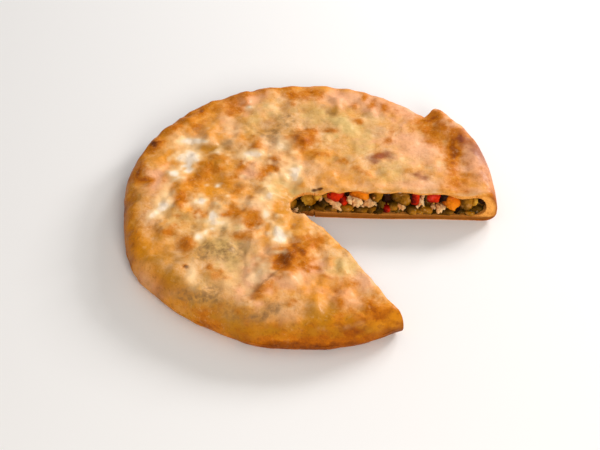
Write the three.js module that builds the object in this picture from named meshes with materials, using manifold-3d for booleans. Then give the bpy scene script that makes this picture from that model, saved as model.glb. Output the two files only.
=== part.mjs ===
// A flat round pie: a closed case of dough full of diced vegetables and curd cheese.
// One slice is gone. The slice beside the gap is cut too, and has slid a little way out along its cut.
// Millimetres, +Z up, the base on Z = 0, +X to the right and +Y to the back.
import * as THREE from 'three';
import { mergeVertices } from 'three/addons/utils/BufferGeometryUtils.js';
import Module from 'manifold-3d';

const wasm = await Module();
wasm.setup();

// Dough case
const pieRadius = 149.5;
const crownHeight = 28;
const rimHeight = 10; // height of the rim's widest point
const baseTuck = 11; // how far the base draws in under the rim
const shoulderPower = 22; // higher is a squarer shoulder
const topCrust = { middle: 2.6, rim: 4.4 };
const topCrustGrows = { from: 0.6, to: 0.92 }; // shares of the radius
const bottomCrust = 5;
const rimDough = 9; // solid dough between the filling and the outside
const cavityPower = 30; // higher is a squarer corner round the filling
const fillingGap = 0.3;
const outlineWaves = [
  { cycles: 1, size: 1.8, phase: 2.74 },
  { cycles: 3, size: 1.2, phase: 0.56 },
  { cycles: 5, size: 1.0, phase: 1.56 },
  { cycles: 8, size: 0.9, phase: -2.98 },
  { cycles: 17, size: 0.3, phase: 1.2 },
];
// Places where the outline swells out or draws in: turn and reach in degrees
const outlineSwells = [
  { turn: 92, reach: 36, rise: 2.4 },
  { turn: -62, reach: 16, rise: 2.2 },
  { turn: 45, reach: 14, rise: 1.5 },
  { turn: 0, reach: 10, rise: -2.5 },
  { turn: 204, reach: 14, rise: 2 },
];

// Rolled rim, high only on the cut slice, with a valley inside it
const rollTurn = 21; // degrees, where the roll is highest
const rollReach = 34; // degrees to each side
const rollRise = { usual: 0.8, slice: 6.5 };
const rollAt = { crest: 0.94, valley: 0.78 }; // shares of the radius
const rollWidth = { crest: 0.08, valley: 0.06 };
const rollPower = 60; // higher ends the roll more steeply at the outside
const valleyShare = 0.25; // depth of the valley, as a share of the roll

// Lumps of filling that lift the top crust
const lumpCount = 96;
const lumpField = 134;
const lumpSpread = { least: 6, most: 12 };
const lumpRise = { least: -1.3, most: 2.6 };
const goldenTurn = Math.PI * (3 - Math.sqrt(5));

// Larger folds and mounds: centre, half length, half width, turn in degrees and rise
const folds = [
  { x: -25, y: -101, reach: 22, spread: 6.5, turn: 60, rise: 3.2 },
  { x: 3, y: -71, reach: 18, spread: 8, turn: 28, rise: 2.6 },
  { x: -39, y: -96, reach: 14, spread: 7, turn: 72, rise: -2.4 },
  { x: -3, y: -104, reach: 17, spread: 12, turn: 40, rise: 2.0 },
  { x: 1, y: 66, reach: 14, spread: 9, turn: 0, rise: 3.0 },
  { x: -66, y: 26, reach: 18, spread: 12, turn: 120, rise: 2.2 },
  { x: -82, y: -30, reach: 16, spread: 10, turn: 80, rise: -1.6 },
  { x: -9, y: -13, reach: 16, spread: 9, turn: 95, rise: -2.4 },
  { x: 80, y: 20, reach: 55, spread: 38, turn: 20, rise: 2.8 },
];

// Knife cuts, all from one point, as compass turns in degrees
const knife = new THREE.Vector2(-1, -7.5);
const sliceBackTurn = 44.3;
const sliceFrontTurn = -2.6;
const gapTurn = -60.1;
const cutGap = 0.6;
const sliceSlide = 13;
// The crust is torn away in a round at the point of the gap, and flares from it to the straight cut
const tipCentre = new THREE.Vector2(3, -11.3);
const tipRadius = 14.4;
const tipEndTurn = 262;
const flareStart = 62;
const flareControl = new THREE.Vector2(12, -37);

// Cut faces of the filling
const coreRecess = 3.4; // the core lies this far behind the knife cut
const proud = 0.9; // and the pieces on it stand this far out of the cut at most
const pieceDepth = 11;

// Kinds of piece: power under 1 is boxier, rough is unevenness as a share of the size
const kinds = {
  redPepper: { power: 0.55, rough: 0.05 },
  orangePepper: { power: 0.6, rough: 0.05 },
  marrow: { power: 0.7, rough: 0.06 },
  greens: { power: 0.8, rough: 0.12 },
  cheese: { power: 0.85, rough: 0.2 },
  skin: { power: 0.75, rough: 0.1 },
};

// What shows on the slice's front, from its point to the rim: kind, place along the cut, height,
// width, tallness and tilt in degrees
const slicePieces = [
  ['greens', 9, 14, 9, 12, 0],
  ['redPepper', 19.5, 20, 16, 13, 30],
  ['cheese', 19, 9.5, 12, 7, 0],
  ['orangePepper', 38, 22.5, 20, 9, 0],
  ['cheese', 34, 14, 10, 10, 0],
  ['cheese', 47, 10.5, 16, 9, 30],
  ['marrow', 51.5, 20, 10, 13, 20],
  ['skin', 60, 21, 8, 12, 0],
  ['redPepper', 60, 8.5, 9, 7, 0],
  ['marrow', 72, 19.5, 19, 14, 25],
  ['cheese', 73, 9.5, 10, 8, 0],
  ['redPepper', 83, 19, 9, 14, 0],
  ['cheese', 89, 14.5, 8, 14, 0],
  ['redPepper', 98, 20, 12, 12, 0],
  ['cheese', 101, 9, 14, 7, 0],
  ['skin', 106, 22, 7, 8, 0],
  ['orangePepper', 114, 16, 14, 15, 25],
  ['marrow', 126, 16, 13, 15, 0],
];

// The other cut faces: two courses of pieces, their kinds in turn
const courses = [
  { height: 19, kinds: ['marrow', 'redPepper', 'skin', 'orangePepper', 'marrow'], wide: 14, tall: 12 },
  { height: 9.5, kinds: ['cheese', 'greens', 'cheese', 'redPepper'], wide: 11, tall: 9 },
];
const courseTilt = 30; // most tilt to either side, in degrees
const gapFace = { from: 34, to: 131, step: 12.5 };
const tipFace = { from: 78, to: 256, step: 36 }; // degrees round the torn point

// Fineness of the skins
const topSpacing = 7;
const cavitySpacing = 12;
const shoulderStart = 0.88;
const shoulderRows = [0.92, 0.955, 0.98, 0.995, 1];
const rimRows = 4;
const cavityRows = [0.9, 0.96, 0.99, 1];
const farReach = 260;
const cutDepth = 90;

const radians = THREE.MathUtils.degToRad;
const mix = THREE.MathUtils.lerp;

// Even scatter from 0 to 1, the same for the same number and use
function scatter(number, use) {
  const wave = Math.sin(number * 12.9898 + use * 78.233) * 43758.5453;
  return wave - Math.floor(wave);
}

const bell = (value) => Math.exp(-value * value);
// Full in the middle and falling steeply to nothing at the edge
const rounded = (share, power) => Math.sqrt(Math.max(0, 1 - share ** power));

// Smallest turn between an angle and a heading, as a share of a reach in degrees
function apart(angle, heading, reach) {
  const turn = angle - radians(heading);
  return Math.atan2(Math.sin(turn), Math.cos(turn)) / radians(reach);
}

function outline(angle) {
  const waves = outlineWaves.map(({ cycles, size, phase }) => size * Math.sin(cycles * angle + phase));
  const swells = outlineSwells.map(({ turn, reach, rise }) => rise * bell(apart(angle, turn, reach)));
  return [...waves, ...swells].reduce((sum, value) => sum + value, pieRadius);
}

// Lumps follow the spiral of a sunflower's seeds, so they lie evenly over the top
const lumps = Array.from({ length: lumpCount }, (_, k) => {
  const reach = lumpField * Math.sqrt((k + 0.5) / lumpCount);
  return {
    x: reach * Math.cos(k * goldenTurn),
    y: reach * Math.sin(k * goldenTurn),
    spread: mix(lumpSpread.least, lumpSpread.most, scatter(k, 1)),
    rise: mix(lumpRise.least, lumpRise.most, scatter(k, 2)),
  };
});

function relief(x, y) {
  let rise = 0;
  for (const lump of lumps) {
    rise += lump.rise * bell(Math.hypot(x - lump.x, y - lump.y) / lump.spread);
  }
  for (const fold of folds) {
    const turn = radians(fold.turn);
    const along = (x - fold.x) * Math.cos(turn) + (y - fold.y) * Math.sin(turn);
    const across = (y - fold.y) * Math.cos(turn) - (x - fold.x) * Math.sin(turn);
    rise += fold.rise * bell(along / fold.reach) * bell(across / fold.spread);
  }
  return rise;
}

// The roll rises from its usual height to a highest one, which the slice and the rest don't share
function rimRoll(angle, share, highest) {
  const strength = mix(rollRise.usual, highest, bell(apart(angle, rollTurn, rollReach)));
  const crest = bell((share - rollAt.crest) / rollWidth.crest) * rounded(share, rollPower);
  const valley = bell((share - rollAt.valley) / rollWidth.valley);
  return strength * (crest - valleyShare * valley);
}

// Height of the top at a compass angle and a share of the radius there
function topHeight(angle, share, highest) {
  const reach = share * outline(angle);
  const swell = relief(reach * Math.cos(angle), reach * Math.sin(angle));
  const body = (crownHeight - rimHeight + swell) * rounded(share, shoulderPower);
  return rimHeight + body + rimRoll(angle, share, highest);
}

function polar(angle, reach, height) {
  return new THREE.Vector3(reach * Math.cos(angle), reach * Math.sin(angle), height);
}

function ring(count, place) {
  return Array.from({ length: count }, (_, i) => place((2 * Math.PI * i) / count));
}

// Triangles between two rings, which may hold different numbers of points
function stitch(inner, outer) {
  const faces = [];
  let i = 0;
  let j = 0;
  while (i < inner.count || j < outer.count) {
    const innerNext = (i + 1) / inner.count <= (j + 1) / outer.count;
    const stepInner = j === outer.count || (i < inner.count && innerNext);
    const from = inner.start + (i % inner.count);
    const to = outer.start + (j % outer.count);
    if (stepInner) {
      i += 1;
      if (inner.count > 1) faces.push(from, to, inner.start + (i % inner.count));
    } else {
      j += 1;
      if (outer.count > 1) faces.push(from, to, outer.start + (j % outer.count));
    }
  }
  return faces;
}

// A closed skin from a top point out through rings, down the side and in again to a bottom point
function skin(top, rings, bottom) {
  const rows = [[top], ...rings, [bottom]];
  const faces = [];
  let start = 0;
  for (let row = 0; row + 1 < rows.length; row += 1) {
    const inner = { start, count: rows[row].length };
    start += inner.count;
    faces.push(...stitch(inner, { start, count: rows[row + 1].length }));
  }
  const geometry = new THREE.BufferGeometry().setFromPoints(rows.flat());
  geometry.setIndex(faces);
  return geometry;
}

function rowCount(reach, spacing) {
  return Math.max(6, Math.round((2 * Math.PI * reach) / spacing));
}

// Shares of the radius from the middle to where the edge begins, evenly, then the edge's own rows
function rowShares(reach, spacing, edgeStart, edgeRows) {
  const evenRows = Math.round((reach * edgeStart) / spacing);
  const even = Array.from({ length: evenRows }, (_, i) => ((i + 1) / evenRows) * edgeStart);
  return [...even, ...edgeRows];
}

function doughBody(highest) {
  const shares = rowShares(pieRadius, topSpacing, shoulderStart, shoulderRows);
  const topRings = shares.map((share) =>
    ring(rowCount(share * pieRadius, topSpacing), (angle) =>
      polar(angle, share * outline(angle), topHeight(angle, share, highest)),
    ),
  );
  const sideRings = Array.from({ length: rimRows }, (_, i) => {
    const bend = (((i + 1) / rimRows) * Math.PI) / 2;
    const tuck = baseTuck * (1 - Math.cos(bend));
    const height = rimHeight * (1 - Math.sin(bend));
    return ring(rowCount(pieRadius, topSpacing), (angle) => polar(angle, outline(angle) - tuck, height));
  });
  return skin(polar(0, 0, topHeight(0, 0, highest)), [...topRings, ...sideRings], polar(0, 0, 0));
}

// The room for the filling, or with a gap the filling itself: crust above, below and round it
function fillingBody(gap, highest) {
  const middle = (crownHeight - topCrust.rim + bottomCrust) / 2;
  const edge = (angle) => outline(angle) - rimDough - gap;
  const fade = (share) => rounded(share, cavityPower);
  const ceiling = (angle, share) => {
    const outwards = (share * edge(angle)) / outline(angle);
    const grown = THREE.MathUtils.smoothstep(outwards, topCrustGrows.from, topCrustGrows.to);
    const above = topHeight(angle, outwards, highest) - mix(topCrust.middle, topCrust.rim, grown);
    return mix(middle, above - gap, fade(share));
  };
  const floor = (share) => mix(middle, bottomCrust + gap, fade(share));
  const shares = rowShares(pieRadius - rimDough, cavitySpacing, cavityRows[0], cavityRows.slice(1));
  const makeRing = (share, height) =>
    ring(rowCount(share * (pieRadius - rimDough), cavitySpacing), (angle) =>
      polar(angle, share * edge(angle), height(angle, share)),
    );
  const upper = shares.map((share) => makeRing(share, ceiling));
  const lower = cavityRows.slice(0, -1).reverse();
  const lowerRings = lower.map((share) => makeRing(share, (angle, s) => floor(s)));
  return skin(polar(0, 0, ceiling(0, 0)), [...upper, ...lowerRings], polar(0, 0, floor(0)));
}

function solidOf(geometry) {
  const bare = geometry.clone();
  bare.deleteAttribute('normal');
  bare.deleteAttribute('uv');
  const merged = mergeVertices(bare);
  const vertProperties = new Float32Array(merged.getAttribute('position').array);
  const triVerts = new Uint32Array(merged.getIndex().array);
  return new wasm.Manifold(new wasm.Mesh({ numProp: 3, vertProperties, triVerts }));
}

// A point a given way along a knife cut, and off to its left
function alongCut(turn, reach, left) {
  const ahead = new THREE.Vector2(Math.cos(radians(turn)), Math.sin(radians(turn)));
  const aside = new THREE.Vector2(-ahead.y, ahead.x);
  return knife.clone().addScaledVector(ahead, reach).addScaledVector(aside, left);
}

function extruded(shape) {
  const geometry = new THREE.ExtrudeGeometry(shape, { depth: cutDepth, bevelEnabled: false });
  return solidOf(geometry.translate(0, 0, -cutDepth / 2));
}

// What stays of the main pie, cut back by an inset on the sides that face the gap and the slice
function mainSector(gapInset, sliceInset) {
  const radius = tipRadius + gapInset;
  const backAside = new THREE.Vector2(-Math.sin(radians(sliceBackTurn)), Math.cos(radians(sliceBackTurn)));
  const offCentre = knife.dot(backAside) + sliceInset - tipCentre.dot(backAside);
  const tipStart = radians(sliceBackTurn + 90) - Math.acos(offCentre / radius);
  const tipEnd = radians(tipEndTurn);
  const farBack = alongCut(sliceBackTurn, farReach, sliceInset);
  const farGap = alongCut(gapTurn, farReach, -gapInset);
  const flare = alongCut(gapTurn, flareStart, -gapInset);
  const control = flareControl.clone().add(alongCut(gapTurn, 0, -gapInset)).sub(knife);
  const tip = new THREE.Vector2(Math.cos(tipEnd), Math.sin(tipEnd)).multiplyScalar(radius).add(tipCentre);
  const shape = new THREE.Shape();
  shape.moveTo(farBack.x, farBack.y);
  shape.lineTo(-farReach, farReach);
  shape.lineTo(-farReach, -farReach);
  shape.lineTo(farGap.x, farGap.y);
  shape.lineTo(flare.x, flare.y);
  shape.quadraticCurveTo(control.x, control.y, tip.x, tip.y);
  shape.absarc(tipCentre.x, tipCentre.y, radius, tipEnd, tipStart, true);
  return extruded(shape);
}

// What stays of the cut slice, before it slides, cut back from its front and back faces
function sliceSector(frontInset, backInset) {
  const spread = radians(sliceBackTurn - sliceFrontTurn);
  const point = (backInset + frontInset * Math.cos(spread)) / Math.sin(spread);
  const tip = alongCut(sliceFrontTurn, point, frontInset);
  const front = alongCut(sliceFrontTurn, farReach, frontInset);
  const back = alongCut(sliceBackTurn, farReach, -backInset);
  return extruded(new THREE.Shape([tip, front, back]));
}

// One piece of vegetable or cheese: a ball of few faces drawn out to a rounded block
function piece(kind, wide, tall, seed) {
  const { power, rough } = kinds[kind];
  const ball = new THREE.OctahedronGeometry(1, 1);
  ball.deleteAttribute('normal');
  ball.deleteAttribute('uv');
  const block = mergeVertices(ball);
  const place = block.getAttribute('position');
  const shaped = (value) => Math.sign(value) * Math.abs(value) ** power;
  for (let i = 0; i < place.count; i += 1) {
    const swell = 1 + rough * (2 * scatter(i + seed * place.count, 3) - 1);
    const half = [wide / 2, pieceDepth / 2, tall / 2].map((size) => size * swell);
    place.setXYZ(
      i,
      half[0] * shaped(place.getX(i)),
      half[1] * shaped(place.getY(i)),
      half[2] * shaped(place.getZ(i)),
    );
  }
  return block;
}

// The piece tilted, turned to its cut face and set down there
function placed(block, tilt, turn, x, y, height) {
  return solidOf(block.rotateY(radians(tilt)).rotateZ(turn).translate(x, y, height));
}

const setBack = pieceDepth / 2 - proud;

function slicePieceSolids() {
  return slicePieces.map(([kind, along, height, wide, tall, tilt], i) => {
    const spot = alongCut(sliceFrontTurn, along, setBack);
    return placed(piece(kind, wide, tall, i), tilt, radians(sliceFrontTurn), spot.x, spot.y, height);
  });
}

// Pieces on the gap's far face and round its torn point, in two courses set half a step apart
function mainPieceSolids() {
  const solids = [];
  courses.forEach((course, row) => {
    const add = (turn, x, y) => {
      const seed = solids.length;
      const kind = course.kinds[seed % course.kinds.length];
      const tilt = mix(-courseTilt, courseTilt, scatter(seed, 4));
      solids.push(placed(piece(kind, course.wide, course.tall, seed), tilt, turn, x, y, course.height));
    };
    for (let along = gapFace.from + row * (gapFace.step / 2); along < gapFace.to; along += gapFace.step) {
      const spot = alongCut(gapTurn, along, -setBack);
      add(radians(gapTurn), spot.x, spot.y);
    }
    for (let turn = tipFace.from + row * (tipFace.step / 2); turn < tipFace.to; turn += tipFace.step) {
      const reach = tipRadius + setBack;
      const round = radians(turn);
      add(round + Math.PI / 2, tipCentre.x + reach * Math.cos(round), tipCentre.y + reach * Math.sin(round));
    }
  });
  return solids;
}

// The filling of one part of the pie: its core with the pieces that show, none of them past the crust.
// Only the outer skin is kept, so hollows shut in between pieces are filled.
function filling(room, core, pieces, limit) {
  const joined = pieces.reduce((body, one) => body.add(one), room.intersect(core));
  const skins = joined.intersect(room).intersect(limit).decompose();
  return skins.reduce((best, one) => (one.volume() > best.volume() ? one : best));
}

function meshOf(name, solid, material) {
  const { vertProperties, triVerts } = solid.getMesh();
  const geometry = new THREE.BufferGeometry();
  geometry.setAttribute('position', new THREE.BufferAttribute(new Float32Array(vertProperties), 3));
  geometry.setIndex(Array.from(triVerts));
  geometry.computeVertexNormals();
  const mesh = new THREE.Mesh(geometry, material);
  mesh.name = name;
  return mesh;
}

const crustFinish = new THREE.MeshStandardMaterial({ color: 0xd9a35c, roughness: 0.45, metalness: 0 });
const fillingFinish = new THREE.MeshStandardMaterial({ color: 0x8f7a3e, roughness: 0.4, metalness: 0 });

// A whole case of dough and the whole of its filling, with the rim rolled up to a height
const wholeCase = (highest) => solidOf(doughBody(highest)).subtract(solidOf(fillingBody(0, highest)));
const wholeFilling = (highest) => solidOf(fillingBody(fillingGap, highest));

const mainFilling = filling(
  wholeFilling(rollRise.usual),
  mainSector(coreRecess, fillingGap),
  mainPieceSolids(),
  mainSector(-proud, fillingGap),
);
const sliceFilling = filling(
  wholeFilling(rollRise.slice),
  sliceSector(coreRecess, cutGap + fillingGap),
  slicePieceSolids(),
  sliceSector(-proud, cutGap + fillingGap),
);

const pie = new THREE.Group();
pie.add(meshOf('crust', wholeCase(rollRise.usual).intersect(mainSector(0, 0)), crustFinish));
pie.add(meshOf('filling', mainFilling, fillingFinish));

const slice = new THREE.Group();
slice.add(meshOf('slice_crust', wholeCase(rollRise.slice).intersect(sliceSector(0, cutGap)), crustFinish));
slice.add(meshOf('slice_filling', sliceFilling, fillingFinish));
const slideTurn = radians(sliceBackTurn);
slice.position.set(sliceSlide * Math.cos(slideTurn), sliceSlide * Math.sin(slideTurn), 0);
pie.add(slice);

// The middle of the pie's outer box stands over the origin
const middle = new THREE.Box3().setFromObject(pie).getCenter(new THREE.Vector3());
pie.position.set(-middle.x, -middle.y, 0);

export default pie;
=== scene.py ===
import math
import bpy
import numpy as np
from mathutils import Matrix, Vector


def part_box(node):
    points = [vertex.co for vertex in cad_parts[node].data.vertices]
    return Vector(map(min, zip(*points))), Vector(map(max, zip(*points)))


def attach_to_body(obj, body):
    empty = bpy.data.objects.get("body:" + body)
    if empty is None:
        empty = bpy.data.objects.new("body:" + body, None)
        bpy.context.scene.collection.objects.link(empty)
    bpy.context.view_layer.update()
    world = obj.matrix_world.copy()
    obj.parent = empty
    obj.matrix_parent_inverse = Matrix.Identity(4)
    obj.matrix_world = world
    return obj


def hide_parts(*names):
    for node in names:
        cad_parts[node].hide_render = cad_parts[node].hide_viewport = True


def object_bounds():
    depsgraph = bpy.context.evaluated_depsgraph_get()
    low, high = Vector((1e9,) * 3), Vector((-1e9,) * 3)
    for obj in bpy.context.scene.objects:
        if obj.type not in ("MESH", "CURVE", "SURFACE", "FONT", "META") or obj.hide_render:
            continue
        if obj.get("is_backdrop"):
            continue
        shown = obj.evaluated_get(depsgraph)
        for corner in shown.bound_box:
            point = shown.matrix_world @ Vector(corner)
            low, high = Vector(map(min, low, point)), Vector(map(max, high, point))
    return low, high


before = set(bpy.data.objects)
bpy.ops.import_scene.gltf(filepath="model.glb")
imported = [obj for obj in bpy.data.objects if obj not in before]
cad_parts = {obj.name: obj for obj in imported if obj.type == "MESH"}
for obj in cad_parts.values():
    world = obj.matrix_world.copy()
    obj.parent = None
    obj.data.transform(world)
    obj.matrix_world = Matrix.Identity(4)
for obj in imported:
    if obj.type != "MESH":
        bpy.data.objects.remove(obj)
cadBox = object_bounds()
mm = 0.001
print("frame loaded:", sorted(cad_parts))

# Where each random draw starts
seeds = {
    "lump": 11, "blister": 12, "crag": 13, "sway": 31, "uneven": 37, "zones": 41, "cutFace": 51,
    "core": 61, "spots": 61, "courses": 71, "crumbs": 73, "insets": 79, "sag": 91,
}
# The pie: a closed case of dough, in millimetres about its own middle, +X right, +Y back, base at 0.
# Its outline's waves are cycles, size and phase, and its swells are turn, reach and rise
pie = {
    "radius": 149.5, "crown": 28, "rim": 10, "tuck": 11, "shoulder": 22,
    "topCrust": (2.6, 4.4), "thicken": (0.6, 0.92), "bottomCrust": 5, "rimDough": 9,
    "corner": 30, "gap": 0.3,
    "waves": [(1, 1.8, 2.74), (3, 1.2, 0.56), (5, 1.0, 1.56), (8, 0.9, -2.98), (17, 0.3, 1.2)],
    "swells": [(92, 36, 2.4), (-62, 16, 2.2), (-64, 5, -3.2), (45, 14, 1.5), (0, 10, -2.5), (204, 14, 2)],
}
# The rolled rim, high only on the cut slice, with a valley inside it
roll = {
    "turn": 21, "reach": 34, "usual": 0.8, "highest": 6.5, "power": 60,
    "crest": 0.94, "crestWidth": 0.08, "valley": 0.78, "valleyWidth": 0.06, "valleyShare": 0.25,
}
# Lumps of filling under the top crust, and the larger folds: x, y, reach, spread, turn and rise
lumps = {"count": 96, "field": 134, "spread": (6, 12), "rise": (-1.3, 2.6)}
folds = [
    (-15, -102, 20, 8, 46, 2.4), (3, -71, 18, 8, 28, 2.6), (-39, -96, 14, 7, 72, -0.6),
    (-3, -104, 17, 12, 40, 2.0), (1, 66, 14, 9, 0, 3.0), (-66, 26, 18, 12, 120, 2.2),
    (-82, -30, 16, 10, 80, -1.6), (-9, -13, 16, 9, 95, -2.4), (80, 20, 55, 38, 20, 2.8),
]
# Knife cuts from one point, the slide of the slice, the torn round at the point of the gap, and where
# the gap's cut flares out, after that round and again at the rim
cuts = {
    "knife": (-1, -7.5), "sliceBack": 44.3, "sliceFront": -2.6, "gapTurn": -60.1, "gap": 0.6, "slide": 13,
    "tip": (3, -11.3), "tipRadius": 14.4, "tipEnd": 262, "flareStart": 62, "flareControl": (12, -37),
    "flareSteps": 60, "rimFlare": (122, 141), "rimFlareTurn": 1.5,
}


# 1 at zero, falling to 0 on both sides
def bell(value):
    return np.exp(-value * value)


# 1 inside, falling to 0 at a share of 1, and more squarely with a higher power
def rounded(share, power):
    return np.sqrt(np.clip(1 - np.clip(share, 0, 1) ** power, 0, 1))


# From low to high by a weight
def mix(low, high, weight):
    return low + (high - low) * weight


# 0 below low, 1 above high, eased between
def smooth(low, high, value):
    step = np.clip((value - low) / (high - low), 0, 1)
    return step * step * (3 - 2 * step)


# Part after the point of a large sine: a fixed share of 1 for a number and its use
def scatter(number, use):
    wave = np.sin(number * 12.9898 + use * 78.233) * 43758.5453
    return wave - np.floor(wave)


latticeSide = 64


# Random heights on a square lattice, blended smoothly from corner to corner, from -1 to 1
def lumpyNoise(x, y, cell, seed):
    lattice = np.random.default_rng(seed).uniform(-1, 1, (latticeSide, latticeSide))
    column, row = np.floor(x / cell).astype(int), np.floor(y / cell).astype(int)
    across, up = smooth(0, 1, x / cell - column), smooth(0, 1, y / cell - row)
    corner = lambda i, j: lattice[(row + j) % latticeSide, (column + i) % latticeSide]
    near = mix(corner(0, 0), corner(1, 0), across)
    far = mix(corner(0, 1), corner(1, 1), across)
    return mix(near, far, up)


# Smallest turn between an angle and a heading in degrees
def apart(angle, heading):
    return np.angle(np.exp(1j * (angle - math.radians(heading))))


# Sum of bells round the pie, each at a turn, with its reach in degrees and its rise
def swelling(angle, bells):
    return sum(rise * bell(apart(angle, turn) / math.radians(reach)) for turn, reach, rise in bells)


# A round of the pie's radius with a few slow waves, and places where it swells out or draws in
def outline(angle):
    waves = sum(size * np.sin(cycles * angle + phase) for cycles, size, phase in pie["waves"])
    return pie["radius"] + waves + swelling(angle, pie["swells"])


# Distances of a point along and across a line that is turned about a centre
def turned(x, y, centreX, centreY, turn):
    cosine, sine = math.cos(math.radians(turn)), math.sin(math.radians(turn))
    return (x - centreX) * cosine + (y - centreY) * sine, (y - centreY) * cosine - (x - centreX) * sine


# Sum of bell-shaped lumps along a sunflower spiral and of long bell-shaped folds
def relief(x, y):
    rise = np.zeros_like(x)
    goldenTurn = math.pi * (3 - math.sqrt(5))
    for k in range(lumps["count"]):
        reach, angle = lumps["field"] * math.sqrt((k + 0.5) / lumps["count"]), k * goldenTurn
        away = np.hypot(x - reach * math.cos(angle), y - reach * math.sin(angle))
        rise += mix(*lumps["rise"], scatter(k, 2)) * bell(away / mix(*lumps["spread"], scatter(k, 1)))
    for centreX, centreY, reach, spread, turn, height in folds:
        along, across = turned(x, y, centreX, centreY, turn)
        rise += height * bell(along / reach) * bell(across / spread)
    return rise


# A bell-shaped crest just inside the edge less a shallow bell-shaped valley, strong only on the slice
def rimRoll(angle, share, slid):
    highest = roll["highest"] if slid.any() else roll["usual"]
    strength = mix(roll["usual"], highest, bell(apart(angle, roll["turn"]) / math.radians(roll["reach"])))
    crest = bell((share - roll["crest"]) / roll["crestWidth"]) * rounded(share, roll["power"])
    return strength * (crest - roll["valleyShare"] * bell((share - roll["valley"]) / roll["valleyWidth"]))


# Height of the top: a flat crown with relief that falls off round the shoulder, and the rim's roll
def topHeight(x, y, slid):
    angle = np.arctan2(y, x)
    share = np.hypot(x, y) / outline(angle)
    body = (pie["crown"] - pie["rim"] + relief(x, y) + skinRelief(x, y)) * rounded(share, pie["shoulder"])
    return pie["rim"] + body + rimRoll(angle, share, slid)


# Finer unevenness of the baked skin, calmer round one spot, and crags along the rim
skin = {
    "lump": 10, "lumpRise": 2.1, "blister": 5, "blisterRise": 0.8, "crag": 9, "cragRise": 0.9,
    "calm": (85, 45), "calmReach": 70, "calmShare": 0.55, "creaseFade": 6,
}
# Creases of the skin: a point on each, its half length, turn, step up to its right, width and reach back
creases = [(-45, -84, 18, 90, 0.8, 1.4, 18), (-28, -104, 17, 48, 2.4, 2.4, 16)]


# Two sizes of lumpy noise, and along each crease a step that dies away behind it
def skinRelief(x, y):
    lump = skin["lumpRise"] * lumpyNoise(x, y, skin["lump"], seeds["lump"])
    blister = skin["blisterRise"] * lumpyNoise(x, y, skin["blister"], seeds["blister"])
    away = np.hypot(x - skin["calm"][0], y - skin["calm"][1])
    lively = 1 - skin["calmShare"] * bell(away / skin["calmReach"])
    rise = (lump + blister) * lively
    for centreX, centreY, length, turn, height, width, back in creases:
        along, across = turned(x, y, centreX, centreY, turn)
        inside = 1 - smooth(length - skin["creaseFade"], length + skin["creaseFade"], np.abs(along))
        rise += height * inside * smooth(-width, width, -across) * bell((-across).clip(0) / back)
    return rise


# The outline plus lumpy noise for crags, as far as a given share of them
def craggy(angle, share=1.0):
    edge = outline(angle)
    crags = lumpyNoise(edge * np.cos(angle), edge * np.sin(angle), skin["crag"], seeds["crag"])
    return edge + share * skin["cragRise"] * crags


# A point so far along a knife cut and so far to its left
def alongCut(turn, reach, left):
    ahead = np.array([math.cos(math.radians(turn)), math.sin(math.radians(turn))])
    return np.array(cuts["knife"]) + reach * ahead + left * np.array([-ahead[1], ahead[0]])


# The main pie seen from the middle of its torn point: where it starts, and the turns of its two cuts by
# distance. The gap's cut is a curve of three points from the torn round, then a straight line
def mainSector(gapInset=0.0, sliceInset=0.0):
    centre = np.array(cuts["tip"], float)
    start = cuts["tipRadius"] + gapInset
    back = math.radians(cuts["sliceBack"])
    front = math.radians(cuts["gapTurn"] + 360)
    backOff = (np.array(cuts["knife"]) - centre) @ [-math.sin(back), math.cos(back)] + sliceInset
    frontOff = (np.array(cuts["knife"]) - centre) @ [-math.sin(front), math.cos(front)] - gapInset
    tipEnd = math.radians(cuts["tipEnd"])
    tip = centre + start * np.array([math.cos(tipEnd), math.sin(tipEnd)])
    flare = alongCut(cuts["gapTurn"], cuts["flareStart"], -gapInset)
    control = np.array(cuts["flareControl"]) + alongCut(cuts["gapTurn"], 0, -gapInset) - cuts["knife"]
    step = np.linspace(0, 1, cuts["flareSteps"])[:, None]
    curve = (1 - step) ** 2 * tip + 2 * step * (1 - step) * control + step ** 2 * flare - centre
    curveReach, curveTurn = np.hypot(*curve.T), np.arctan2(curve[:, 1], curve[:, 0]) % (2 * math.pi)

    def high(reach):
        straight = front + np.arcsin(np.clip(frontOff / reach, -1, 1))
        straight = straight + math.radians(cuts["rimFlareTurn"]) * smooth(*cuts["rimFlare"], reach)
        return np.where(reach < curveReach[-1], np.interp(reach, curveReach, curveTurn), straight)

    low = lambda reach: back + np.arcsin(backOff / reach)
    return {"centre": centre, "start": start, "low": low, "high": high}


# The cut slice seen from its point, with both cuts straight out from there
def sliceSector(frontInset=0.0, backInset=0.0, start=1.2):
    spread = math.radians(cuts["sliceBack"] - cuts["sliceFront"])
    point = (backInset + frontInset * math.cos(spread)) / math.sin(spread)
    return {
        "centre": alongCut(cuts["sliceFront"], point, frontInset), "start": start,
        "low": lambda reach: np.full_like(reach, math.radians(cuts["sliceFront"])),
        "high": lambda reach: np.full_like(reach, math.radians(cuts["sliceBack"])),
    }


edgePasses = 8  # rounds that settle where a ray meets the edge


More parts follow.
